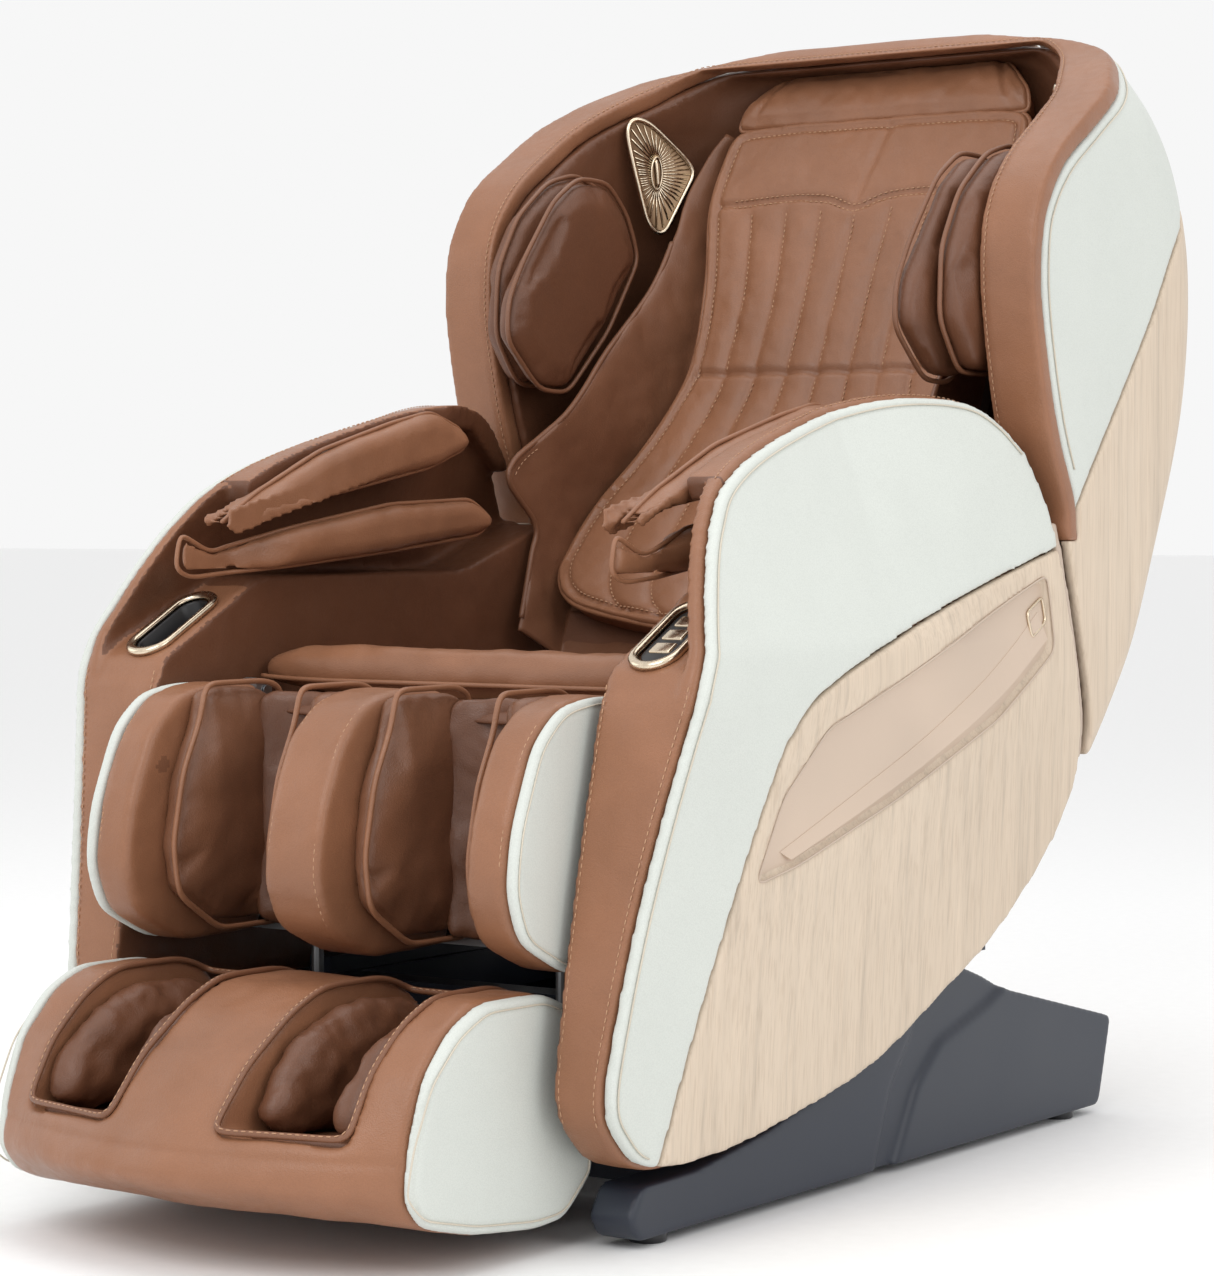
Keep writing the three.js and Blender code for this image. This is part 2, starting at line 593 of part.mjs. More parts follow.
function buildBase() {
  const groove = [[60, 0], [100, 0], [150, 84], [198, 122], [300, 150], [420, 200], [180, 260], [140, 140], [96, 90]];
  const feet = [-310, 500].map((y) => bar('z', 18, [286, y, 0], [286, y, FOOT_PAD + 4]));
  const plainSkirt = prism(BASE_PROFILE, SEAT_HALF, BASE_HALF).subtract(prism(groove, BASE_HALF - 6, 400));
  addPair('base_skirt', union(plainSkirt, ...feet), 'navy');
  const coverOutline = [[300, 20], [300, 179], [346, 160], [589, 105], [560, 20]];
  const hollow = [[280, 26], [280, 169], [345, 153], [580, 99], [554, 26]];
  const window = box(-52, 52, 500, 700, 38, 78);
  const cover = prism(coverOutline, -261, 261).subtract(prism(hollow, -252, 252)).subtract(window);
  add('base_rear_cover', cover, 'navy');
  const beams = [-1, 1].map((side) => box(side * 220 - 25, side * 220 + 25, -170, 290, 150, 195));
  const frame = union(...beams, box(-258, 258, -170, -130, 20, 195), box(-258, 258, 250, 290, 20, 195));
  const rails = [-1, 1].map((side) => box(side * 220 - 14, side * 220 + 14, -165, 430, 190, 212));
  add('base_frame', union(frame, ...rails), 'navy');
  const [tiltY, tiltZ] = TILT_PIVOT;
  const shoes = [-1, 1].map((side) => box(side * 220 - 26, side * 220 + 26, 60, 360, 212 + GAP, 232));
  const ears = [-1, 1].map((side) => prism([
    [tiltY - 40, 231], [tiltY + 40, 231], [tiltY + 16, tiltZ + 12], [tiltY - 16, tiltZ + 12],
  ], side > 0 ? 181 : -196, side > 0 ? 196 : -181));
  const shaft = bar('x', 10, [-196, tiltY, tiltZ], [196, tiltY, tiltZ]);
  const ties = [[80, 140], [290, 340]].map(([y0, y1]) => box(-246, 246, y0, y1, 212 + GAP, 232));
  add('seat_carriage', union(...shoes, ...ears, ...ties, shaft), 'steel');
  const block = box(-50, 50, 520, 566, 40, 76);
  const inletHole = box(-42, -8, 545, 600, 46, 70);
  const switchHole = box(10, 40, 552, 600, 47, 69);
  const pins = [-34, -25, -16].map((x) => box(x - 1.5, x + 1.5, 544, 560, 55, 61));
  add('power_panel', union(block.subtract(inletHole).subtract(switchHole), ...pins), 'black');
  add('power_switch', prism([[554, 50], [566, 50], [569, 58], [566, 66], [554, 66]], 12, 38), 'gold');
}

buildBase();
buildSeat();
buildArms();
buildShelves();
buildHood();
buildBackPads();
buildMassageTrack();
buildShoulderPads();
buildSpeakers();
buildCalfRest();
buildFootrest();

export default chair;
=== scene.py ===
"""The looks of a full-body massage chair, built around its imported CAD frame.

Lengths in this script are millimetres unless a name ends in _m; mesh() turns them into metres.
The sitter faces -Y and the sitter's left is +X, as in the frame.
"""

import math

import bmesh
import bpy
import numpy as np
from mathutils import Matrix, Vector, geometry, kdtree, noise


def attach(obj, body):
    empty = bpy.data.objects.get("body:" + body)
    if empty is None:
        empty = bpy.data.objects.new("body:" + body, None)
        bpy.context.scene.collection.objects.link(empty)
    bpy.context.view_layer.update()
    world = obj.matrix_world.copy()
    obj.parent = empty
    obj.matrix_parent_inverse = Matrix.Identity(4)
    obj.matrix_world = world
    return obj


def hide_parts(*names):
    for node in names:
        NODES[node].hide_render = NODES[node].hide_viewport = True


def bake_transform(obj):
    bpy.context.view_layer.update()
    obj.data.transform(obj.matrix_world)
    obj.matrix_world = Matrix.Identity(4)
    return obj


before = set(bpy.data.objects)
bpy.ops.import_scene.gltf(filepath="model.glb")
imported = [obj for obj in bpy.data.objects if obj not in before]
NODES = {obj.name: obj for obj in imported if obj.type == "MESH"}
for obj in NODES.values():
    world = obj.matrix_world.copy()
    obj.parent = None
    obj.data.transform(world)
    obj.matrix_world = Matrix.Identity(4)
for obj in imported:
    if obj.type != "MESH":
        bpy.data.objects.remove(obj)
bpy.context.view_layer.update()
MM = 0.001

CAMERA_PLACE_M = (2.0749, -2.9591, 0.660)
CAMERA_AZIMUTH = math.radians(34.7)
CAMERA_PITCH = math.radians(1.9)
CAMERA_LENS = 98.75

HALF_WIDTH = 381
PANEL = 13
LEAN = math.radians(30)
BACK_PIVOT = (288, 382)


# Meshes


def mesh(name, points, faces, smooth=True):
    """A new object from points in millimetres."""
    data = bpy.data.meshes.new(name)
    data.from_pydata([tuple(p) for p in np.asarray(points, float) * MM], [], faces)
    data.update()
    if smooth:
        data.shade_smooth()
    obj = bpy.data.objects.new(name, data)
    bpy.context.scene.collection.objects.link(obj)
    return obj


def outward(obj):
    work = bmesh.new()
    work.from_mesh(obj.data)
    bmesh.ops.recalc_face_normals(work, faces=work.faces)
    work.to_mesh(obj.data)
    work.free()
    return obj


def points_of(obj):
    flat = np.empty(len(obj.data.vertices) * 3)
    obj.data.vertices.foreach_get("co", flat)
    return flat.reshape(-1, 3) / MM


def set_points(obj, points):
    obj.data.vertices.foreach_set("co", (np.asarray(points) * MM).ravel())
    obj.data.update()


def normals_of(obj):
    flat = np.empty(len(obj.data.vertices) * 3)
    obj.data.vertices.foreach_get("normal", flat)
    return flat.reshape(-1, 3)


def copy_of(obj, name):
    twin = obj.copy()
    twin.data = obj.data.copy()
    twin.name = name
    twin.data.name = name
    bpy.context.scene.collection.objects.link(twin)
    return twin


def mirror_of(obj, name):
    twin = copy_of(obj, name)
    points = points_of(twin)
    points[:, 0] *= -1
    set_points(twin, points)
    twin.data.flip_normals()
    return twin


def apply_modifiers(obj):
    graph = bpy.context.evaluated_depsgraph_get()
    data = bpy.data.meshes.new_from_object(obj.evaluated_get(graph))
    old = obj.data
    obj.modifiers.clear()
    obj.data = data
    bpy.data.meshes.remove(old)
    data.shade_smooth()
    return obj


def drop(*objects):
    for obj in objects:
        bpy.data.objects.remove(obj)


def combine(obj, tool, how):
    """Cuts or joins obj with tool, which goes away."""
    step = obj.modifiers.new("combine", "BOOLEAN")
    step.operation = how
    step.solver = "MANIFOLD"
    step.object = tool
    apply_modifiers(obj)
    drop(tool)
    return obj


def remesh(obj, voxel, rounds=4, factor=0.5):
    step = obj.modifiers.new("remesh", "REMESH")
    step.mode = "VOXEL"
    step.voxel_size = voxel * MM
    step.adaptivity = 0
    if rounds:
        soft = obj.modifiers.new("soften", "SMOOTH")
        soft.factor = factor
        soft.iterations = rounds
    return apply_modifiers(obj)


def inflate(obj, voxel=5.0, pressure=4.0, cap=12.0, frames=20, pinned=None):
    """Swells a closed shape as an airbag, by cloth simulation, and keeps each point within cap."""
    remesh(obj, voxel, 2)
    start = points_of(obj)
    scene = bpy.context.scene
    scene.frame_set(1)
    cloth = obj.modifiers.new("cloth", "CLOTH")
    cloth.settings.use_pressure = True
    cloth.settings.uniform_pressure_force = pressure
    cloth.settings.effector_weights.gravity = 0
    cloth.settings.tension_stiffness = 15
    cloth.settings.bending_stiffness = 0.6
    cloth.settings.quality = 5
    if pinned is not None:
        group = obj.vertex_groups.new(name="held")
        held = [int(i) for i in np.nonzero(pinned(start))[0]]
        group.add(held, 1.0, "REPLACE")
        cloth.settings.vertex_group_mass = "held"
    for step in range(1, frames + 1):
        scene.frame_set(step)
    apply_modifiers(obj)
    moved = points_of(obj) - start
    far = np.linalg.norm(moved, axis=1, keepdims=True)
    set_points(obj, start + moved * np.minimum(1, cap / np.maximum(far, 1e-6)))
    scene.frame_set(1)
    obj.vertex_groups.clear()
    return obj


def curve(points, step, closed=False):
    """Points spread evenly along a smooth curve through a few given ones."""
    given = np.asarray(points, float)
    if closed:
        given = np.vstack([given[-1], given, given[:2]])
    else:
        given = np.vstack([2 * given[0] - given[1], given, 2 * given[-1] - given[-2]])
    dense = []
    for a, b, c, d in zip(given[:-3], given[1:-2], given[2:-1], given[3:]):
        for t in np.linspace(0, 1, 12, endpoint=False):
            t2, t3 = t * t, t * t * t
            dense.append(
                0.5 * (2 * b + (c - a) * t + (2 * a - 5 * b + 4 * c - d) * t2 + (3 * b - a - 3 * c + d) * t3)
            )
    dense.append(given[-2])
    return even(np.array(dense), step, closed)


def even(points, step, closed=False):
    """The same line with its points a fixed step apart."""
    points = np.asarray(points, float)
    length = np.sum(np.linalg.norm(np.diff(points, axis=0), axis=1))
    line = spread(points, max(4, int(round(length / step))) + 1)
    return line[:-1] if closed else line


def spread(points, count):
    """The same line with a given number of evenly spaced points."""
    lengths = np.concatenate([[0], np.cumsum(np.linalg.norm(np.diff(points, axis=0), axis=1))])
    at = np.linspace(0, lengths[-1], count)
    return np.column_stack([np.interp(at, lengths, points[:, k]) for k in range(points.shape[1])])


def closed_loop(points, step, rounds=6):
    """A closed outline with its corners eased."""
    loop = even(np.vstack([points, points[:1]]), step, closed=True)
    for _ in range(rounds):
        loop = 0.5 * loop + 0.25 * (np.roll(loop, 1, axis=0) + np.roll(loop, -1, axis=0))
    return loop


def loft(name, rings, caps=True):
    """A skin over rings of equal point count."""
    count = len(rings[0])
    points = np.vstack(rings)
    faces = []
    for r in range(len(rings) - 1):
        for i in range(count):
            j = (i + 1) % count
            faces.append((r * count + i, r * count + j, (r + 1) * count + j, (r + 1) * count + i))
    if caps:
        last = (len(rings) - 1) * count
        faces.append(tuple(range(count))[::-1])
        faces.append(tuple(last + i for i in range(count)))
    return outward(mesh(name, points, faces))


def grid_mesh(name, points, columns):
    """An open surface over rows of points."""
    faces = []
    for row in range(len(points) // columns - 1):
        for i in range(columns - 1):
            a = row * columns + i
            faces.append((a, a + 1, a + columns + 1, a + columns))
    return mesh(name, points, faces)


def thicken(obj, thickness, offset=-1):
    step = obj.modifiers.new("thickness", "SOLIDIFY")
    step.thickness = thickness * MM
    step.offset = offset
    return apply_modifiers(obj)


def prism(name, outline, x0, x1, steps=1):
    """A (y, z) outline carried along x."""
    rings = [np.column_stack([np.full(len(outline), x), outline]) for x in np.linspace(x0, x1, steps + 1)]
    return loft(name, rings)


def shrunk(outline, inset):
    """The outline moved inwards by a few millimetres."""
    along = np.roll(outline, -1, axis=0) - np.roll(outline, 1, axis=0)
    along /= np.maximum(np.linalg.norm(along, axis=1, keepdims=True), 1e-9)
    inward = np.column_stack([-along[:, 1], along[:, 0]])
    area = np.sum(outline[:, 0] * np.roll(outline[:, 1], -1) - np.roll(outline[:, 0], -1) * outline[:, 1])
    return outline + inward * inset * (1 if area > 0 else -1)


def slab(name, outline, x0, x1, edge, steps=3):
    """An outline carried along x with both edges rounded."""
    rings = []
    turns = [math.pi / 2 * k / steps for k in range(steps + 1)]
    for turn in turns:
        rings.append((x0 + edge * (1 - math.sin(turn)), shrunk(outline, edge * (1 - math.cos(turn)))))
    rings = rings[::-1]
    for turn in turns:
        rings.append((x1 - edge * (1 - math.sin(turn)), shrunk(outline, edge * (1 - math.cos(turn)))))
    rings = sorted(rings, key=lambda ring: ring[0])
    return loft(name, [np.column_stack([np.full(len(line), x), line]) for x, line in rings])


def tube(name, path, radius, closed=False, sides=8):
    """A round cord of leather or thread along a path."""
    path = np.asarray(path, float)
    count = len(path)
    ahead = np.roll(path, -1, axis=0) - np.roll(path, 1, axis=0)
    if not closed:
        ahead[0] = path[1] - path[0]
        ahead[-1] = path[-1] - path[-2]
    ahead /= np.maximum(np.linalg.norm(ahead, axis=1, keepdims=True), 1e-9)
    side = np.cross(ahead[0], (0.3, 0.2, 0.93))
    rings = []
    for i in range(count):
        side = side - ahead[i] * np.dot(side, ahead[i])
        side /= np.linalg.norm(side)
        other = np.cross(ahead[i], side)
        turns = np.linspace(0, 2 * math.pi, sides, endpoint=False)
        rings.append(path[i] + radius * (np.outer(np.cos(turns), side) + np.outer(np.sin(turns), other)))
    if not closed:
        return loft(name, rings)
    points = np.vstack(rings)
    faces = []
    for r in range(count):
        n = (r + 1) % count
        shift = 0
        if n == 0:
            gaps = [np.linalg.norm(rings[0] - np.roll(rings[-1], -k, axis=0)) for k in range(sides)]
            shift = int(np.argmin(gaps))
        for i in range(sides):
            j = (i + 1) % sides
            a, b = r * sides + (i + shift) % sides, r * sides + (j + shift) % sides
            faces.append((a, b, n * sides + j, n * sides + i))
    return outward(mesh(name, points, faces))


def stitches(name, paths, length=4.6, gap=2.8, radius=0.6):
    """Rows of single stitches, each a short rounded bar, as one piece."""
    points, faces = [], []
    sides = 5
    for path in paths:
        line = even(path, length + gap)
        for start, end in zip(line[:-1], line[1:]):
            ahead = (end - start) / max(np.linalg.norm(end - start), 1e-9)
            tip = start + ahead * length
            side = np.cross(ahead, (0.31, 0.22, 0.92))
            side /= np.linalg.norm(side)
            other = np.cross(ahead, side)
            base = len(points)
            for centre, size in ((start, 0.4), (start + ahead * 0.8, 1), (tip - ahead * 0.8, 1), (tip, 0.4)):
                for k in range(sides):
                    turn = 2 * math.pi * k / sides
                    points.append(centre + radius * size * (side * math.cos(turn) + other * math.sin(turn)))
            for r in range(3):
                for k in range(sides):
                    j = (k + 1) % sides
                    a = base + r * sides
                    faces.append((a + k, a + j, a + sides + j, a + sides + k))
            faces.append(tuple(base + k for k in range(sides))[::-1])
            faces.append(tuple(base + 3 * sides + k for k in range(sides)))
    return mesh(name, points, faces)


def join(name, pieces):
    """Several pieces of one material as one object."""
    points, faces = [], []
    for piece in pieces:
        base = len(points)
        points.extend(points_of(piece))
        faces.extend(tuple(base + i for i in face.vertices) for face in piece.data.polygons)
    drop(*pieces)
    return mesh(name, points, faces)


def press(obj, paths, depth, width):
    """Presses a soft groove into a surface along paths."""
    line = np.vstack(paths)
    tree = kdtree.KDTree(len(line))
    for i, point in enumerate(line):
        tree.insert(point, i)
    tree.balance()
    points = points_of(obj)
    normals = normals_of(obj)
    for i, point in enumerate(points):
        far = tree.find(point)[2]
        if far < width * 2.5:
            points[i] = point - normals[i] * depth * math.exp(-((far / width) ** 2))
    set_points(obj, points)
    return obj


def ripple(obj, size, height, seed=0, where=None):
    """Uneven leather: low wrinkles from smooth noise, scaled by where(points)."""
    points = points_of(obj)
    normals = normals_of(obj)
    weight = np.ones(len(points)) if where is None else where(points)
    for i, point in enumerate(points):
        if weight[i] > 0.01:
            value = noise.fractal(Vector(point / size) + Vector((seed, 0, 0)), 0.6, 2.0, 3)
            points[i] = point + normals[i] * value * height * weight[i]
    set_points(obj, points)
    return obj


def back_to_world(points):
    """From the leaning frame (x, depth, up the back) to the chair's frame."""
    points = np.asarray(points, float)
    y = BACK_PIVOT[0] + points[:, 1] * math.cos(LEAN) + points[:, 2] * math.sin(LEAN)
    z = BACK_PIVOT[1] - points[:, 1] * math.sin(LEAN) + points[:, 2] * math.cos(LEAN)
    return np.column_stack([points[:, 0], y, z])


def lean_back(obj):
    set_points(obj, back_to_world(points_of(obj)))
    return obj


# Materials


def new_material(name):
    material = bpy.data.materials.new(name)
    material.use_nodes = True
    tree = material.node_tree
    return material, tree, tree.nodes["Principled BSDF"]


def node(tree, kind, **values):
    made = tree.nodes.new(kind)
    for key, value in values.items():
        if key in made.inputs.keys():
            made.inputs[key].default_value = value
        else:
            setattr(made, key, value)
    return made


def ramp(tree, source, stops):
    made = tree.nodes.new("ShaderNodeValToRGB")
    made.color_ramp.elements[0].position = stops[0][0]
    made.color_ramp.elements[0].color = (*stops[0][1], 1)
    made.color_ramp.elements[1].position = stops[-1][0]
    made.color_ramp.elements[1].color = (*stops[-1][1], 1)
    for place, colour in stops[1:-1]:
        made.color_ramp.elements.new(place).color = (*colour, 1)
    tree.links.new(source, made.inputs["Fac"])
    return made.outputs["Color"]


def shade(colour, factor):
    return tuple(min(1.0, c * factor) for c in colour)


def place_node(tree, scale=(1, 1, 1)):
    place = tree.nodes.new("ShaderNodeTexCoord")
    mapping = tree.nodes.new("ShaderNodeMapping")
    mapping.inputs["Scale"].default_value = scale
    tree.links.new(place.outputs["Object"], mapping.inputs["Vector"])
    return mapping.outputs["Vector"]


def textured(tree, kind, where, **values):
    made = node(tree, kind, **values)
    tree.links.new(where, made.inputs["Vector"])
    return made


def add_bump(tree, height, strength, distance, under=None):
    made = node(tree, "ShaderNodeBump", Strength=strength, Distance=distance)
    tree.links.new(height, made.inputs["Height"])
    if under is not None:
        tree.links.new(under, made.inputs["Normal"])
    return made.outputs["Normal"]


def leather(name, colour, rough=0.37, grain=1.0, creases=0.5, drift=0.1):
    """Pebbled leather: fine grain cells, faint creases, colour and gloss that drift a little."""
    material, tree, shader = new_material(name)
    where = place_node(tree)
    cloud = textured(tree, "ShaderNodeTexNoise", where, Scale=9.0, Detail=4.0, Roughness=0.6)
    dark, light = shade(colour, 1 - drift), shade(colour, 1 + drift)
    tone = ramp(tree, cloud.outputs["Fac"], [(0.3, dark), (0.5, colour), (0.72, light)])
    cells = textured(tree, "ShaderNodeTexVoronoi", where, Scale=720.0)
    pores = ramp(tree, cells.outputs["Distance"], [(0.0, (1, 1, 1)), (0.75, (0.8, 0.8, 0.8))])
    mix = node(tree, "ShaderNodeMix", data_type="RGBA", blend_type="MULTIPLY")
    mix.inputs["Factor"].default_value = 0.5
    tree.links.new(tone, mix.inputs["A"])
    tree.links.new(pores, mix.inputs["B"])
    tree.links.new(mix.outputs["Result"], shader.inputs["Base Color"])
    fold = textured(tree, "ShaderNodeTexNoise", where, Scale=55.0, Detail=5.0, Roughness=0.55,
                    Distortion=0.6)
    low = add_bump(tree, fold.outputs["Fac"], 0.25 * creases, 0.004)
    top = add_bump(tree, cells.outputs["Distance"], 0.35 * grain, 0.0006, low)
    tree.links.new(top, shader.inputs["Normal"])
    gloss = ramp(tree, fold.outputs["Fac"], [(0.3, (rough - 0.05,) * 3), (0.7, (rough + 0.08,) * 3)])
    tree.links.new(gloss, shader.inputs["Roughness"])
    shader.inputs["Specular IOR Level"].default_value = 0.45
    return material


def oak(name, colour):
    """Pale oak: long upright streaks, short pores and a slow drift of tone."""
    material, tree, shader = new_material(name)
    streaks = textured(tree, "ShaderNodeTexNoise", place_node(tree, (90, 90, 2.2)), Scale=1.0, Detail=6.0,
                       Roughness=0.62, Distortion=0.15)
    pores = textured(tree, "ShaderNodeTexNoise", place_node(tree, (520, 520, 16)), Scale=1.0, Detail=3.0)
    slow = textured(tree, "ShaderNodeTexNoise", place_node(tree, (7, 7, 1.2)), Scale=1.0, Detail=3.0)
    base = ramp(tree, streaks.outputs["Fac"], [
        (0.28, shade(colour, 0.8)), (0.45, shade(colour, 0.96)), (0.58, colour), (0.75, shade(colour, 1.07)),
    ])
    fine = ramp(tree, pores.outputs["Fac"], [(0.36, (0.86, 0.83, 0.8)), (0.5, (1, 1, 1))])
    broad = ramp(tree, slow.outputs["Fac"], [(0.3, (0.95, 0.94, 0.93)), (0.7, (1, 1, 1))])
    first = node(tree, "ShaderNodeMix", data_type="RGBA", blend_type="MULTIPLY")
    first.inputs["Factor"].default_value = 0.7
    tree.links.new(base, first.inputs["A"])
    tree.links.new(fine, first.inputs["B"])
    second = node(tree, "ShaderNodeMix", data_type="RGBA", blend_type="MULTIPLY")
    second.inputs["Factor"].default_value = 1.0
    tree.links.new(first.outputs["Result"], second.inputs["A"])
    tree.links.new(broad, second.inputs["B"])
    tree.links.new(second.outputs["Result"], shader.inputs["Base Color"])
    tree.links.new(add_bump(tree, pores.outputs["Fac"], 0.12, 0.0005), shader.inputs["Normal"])
    shader.inputs["Roughness"].default_value = 0.5
    return material


def moulded(name, colour, rough=0.4, texture=0.25):
    """Moulded plastic with a fine spark texture."""
    material, tree, shader = new_material(name)
    where = place_node(tree)
    speck = textured(tree, "ShaderNodeTexNoise", where, Scale=900.0, Detail=2.0)
    drift = textured(tree, "ShaderNodeTexNoise", where, Scale=5.0, Detail=2.0)
    tone = ramp(tree, drift.outputs["Fac"], [(0.3, shade(colour, 0.93)), (0.7, shade(colour, 1.06))])
    tree.links.new(tone, shader.inputs["Base Color"])
    tree.links.new(add_bump(tree, speck.outputs["Fac"], texture, 0.0005), shader.inputs["Normal"])
    gloss = ramp(tree, drift.outputs["Fac"], [(0.3, (rough - 0.04,) * 3), (0.7, (rough + 0.04,) * 3)])
    tree.links.new(gloss, shader.inputs["Roughness"])
    return material


def metal(name, colour, rough=0.25, brushed=(300, 300, 8)):
    """Metal with a fine brushed grain."""
    material, tree, shader = new_material(name)
    shader.inputs["Metallic"].default_value = 1.0
    lines = textured(tree, "ShaderNodeTexNoise", place_node(tree, brushed), Scale=1.0, Detail=3.0)
    tone = ramp(tree, lines.outputs["Fac"], [(0.3, shade(colour, 0.9)), (0.7, shade(colour, 1.05))])
    tree.links.new(tone, shader.inputs["Base Color"])
    gloss = ramp(tree, lines.outputs["Fac"], [(0.3, (rough - 0.05,) * 3), (0.7, (rough + 0.07,) * 3)])
    tree.links.new(gloss, shader.inputs["Roughness"])
    tree.links.new(add_bump(tree, lines.outputs["Fac"], 0.05, 0.0003), shader.inputs["Normal"])
    return material


CARAMEL = (0.293, 0.129, 0.066)
SOFT_BROWN = (0.205, 0.088, 0.046)
# Darker brown leather; the same colour is also painted shade on the arms' inner faces and slots, and on the
# shoulder pads.
BROWN_LEATHER_AND_SHADE = (0.150, 0.060, 0.030)
OFF_WHITE = (0.645, 0.672, 0.628)

LOOKS = {
    "leather": leather("caramel_leather", CARAMEL),
    "dark_leather": leather("brown_leather_and_painted_shade", BROWN_LEATHER_AND_SHADE, rough=0.4),
    "wing_leather": leather("soft_brown_leather", SOFT_BROWN, rough=0.38),
    "white": leather("off_white_upholstery", OFF_WHITE, rough=0.5, grain=0.4, creases=0.0, drift=0.02),
    "wood": oak("pale_oak", (0.645, 0.532, 0.415)),
    "tray": moulded("beige_tray", (0.560, 0.440, 0.345), rough=0.45),
    "navy": moulded("navy_moulding", (0.019, 0.024, 0.038), rough=0.42),
    "taupe": moulded("taupe_moulding", (0.50, 0.40, 0.32), rough=0.5),
    "gold": metal("champagne_gold", (0.74, 0.62, 0.47), rough=0.22),
    "bronze": metal("bronze", (0.27, 0.18, 0.11), rough=0.34),
    "black": moulded("black_moulding", (0.018, 0.018, 0.02), rough=0.35),
    "steel": metal("painted_steel", (0.36, 0.37, 0.38), rough=0.4, brushed=(60, 60, 60)),
}
THREAD = moulded("tan_thread", (0.45, 0.255, 0.150), rough=0.6)
CREAM_CORD = leather("cream_cord", (0.62, 0.56, 0.46), rough=0.5, grain=0.3, creases=0.1)


def dress(obj, look, body, replaces=()):
    """Gives a piece its material and its body, and hides the frame's parts that it replaces."""
    obj.data.materials.clear()
    obj.data.materials.append(LOOKS[look] if look in LOOKS else look)
    if body:
        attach(obj, body)
    if replaces:
        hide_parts(*replaces)
    return obj


def edging(name, path, radius, look, body, closed=True):
    """A cord, piping or thin seam along a path, on both sides of the chair."""
    return both_sides(tube(name, path, radius, closed=closed), name, look, body)


def reline(obj, look, picked):
    """Gives the faces that picked(centres, normals) chooses a second material."""
    obj.data.materials.append(LOOKS[look])
    centres = np.array([face.center for face in obj.data.polygons]) / MM
    normals = np.array([face.normal for face in obj.data.polygons])
    for face, chosen in zip(obj.data.polygons, picked(centres, normals)):
        face.material_index = 1 if chosen else 0


def both_sides(obj, name, look, body, replaces=()):
    """Dresses a left piece and makes its mirror image on the right."""
    right = mirror_of(obj, f"{name}_right_look")
    obj.name = f"{name}_left_look"
    for piece, side in ((obj, "left"), (right, "right")):
        dress(piece, look, body, [f"{n}_{side}" for n in replaces])
    return obj, right


# Stage, light and camera


def build_stage():
    reach = 60000
    corners = [(-reach, -reach, 0), (reach, -reach, 0), (reach, reach, 0), (-reach, reach, 0)]
    floor = mesh("floor", corners, [(0, 1, 2, 3)])
    material, tree, shader = new_material("pale_floor")
    speck = textured(tree, "ShaderNodeTexNoise", place_node(tree), Scale=60.0, Detail=3.0)
    tone = ramp(tree, speck.outputs["Fac"], [(0.3, (0.90,) * 3), (0.7, (0.92,) * 3)])
    tree.links.new(tone, shader.inputs["Base Color"])
    shader.inputs["Roughness"].default_value = 0.7
    floor.data.materials.append(material)


def area_light(name, place, target, size, power):
    light = bpy.data.lights.new(name, "AREA")
    light.energy = power
    light.size = size
    obj = bpy.data.objects.new(name, light)
    obj.location = place
    obj.rotation_euler = (Vector(target) - Vector(place)).to_track_quat("-Z", "Y").to_euler()
    bpy.context.scene.collection.objects.link(obj)


def build_light():
    world = bpy.data.worlds.new("studio")
    world.use_nodes = True
    world.node_tree.nodes["Background"].inputs["Color"].default_value = (1.0, 1.0, 1.0, 1)
    world.node_tree.nodes["Background"].inputs["Strength"].default_value = 0.93
    bpy.context.scene.world = world
    area_light("key", (0.6, -3.4, 3.2), (0, 0, 0.6), 2.4, 56)
    area_light("fill_right", (3.6, -0.6, 2.0), (0, 0.1, 0.6), 2.2, 26)
    area_light("top", (0, 0.4, 3.6), (0, 0, 0.6), 2.6, 24)
    area_light("fill_left", (-3.2, -1.6, 1.8), (0, 0, 0.6), 2.0, 12)
    bpy.context.scene.view_settings.view_transform = "Standard"


def build_camera():
    data = bpy.data.cameras.new("camera")
    data.lens = CAMERA_LENS
    data.sensor_width = 36.0
    camera = bpy.data.objects.new("camera", data)
    back = Vector((
        math.sin(CAMERA_AZIMUTH) * math.cos(CAMERA_PITCH),
        -math.cos(CAMERA_AZIMUTH) * math.cos(CAMERA_PITCH),
        math.sin(CAMERA_PITCH),
    ))
    right = Vector((math.cos(CAMERA_AZIMUTH), math.sin(CAMERA_AZIMUTH), 0))
    up = back.cross(right)
    turn = Matrix((right, up, back)).transposed().to_4x4()
    camera.matrix_world = Matrix.Translation(Vector(CAMERA_PLACE_M)) @ turn
    bpy.context.scene.collection.objects.link(camera)
    bpy.context.scene.camera = camera


build_camera()
build_light()
build_stage()


# Outlines as (y, z) points, most of them shared with the frame's solids

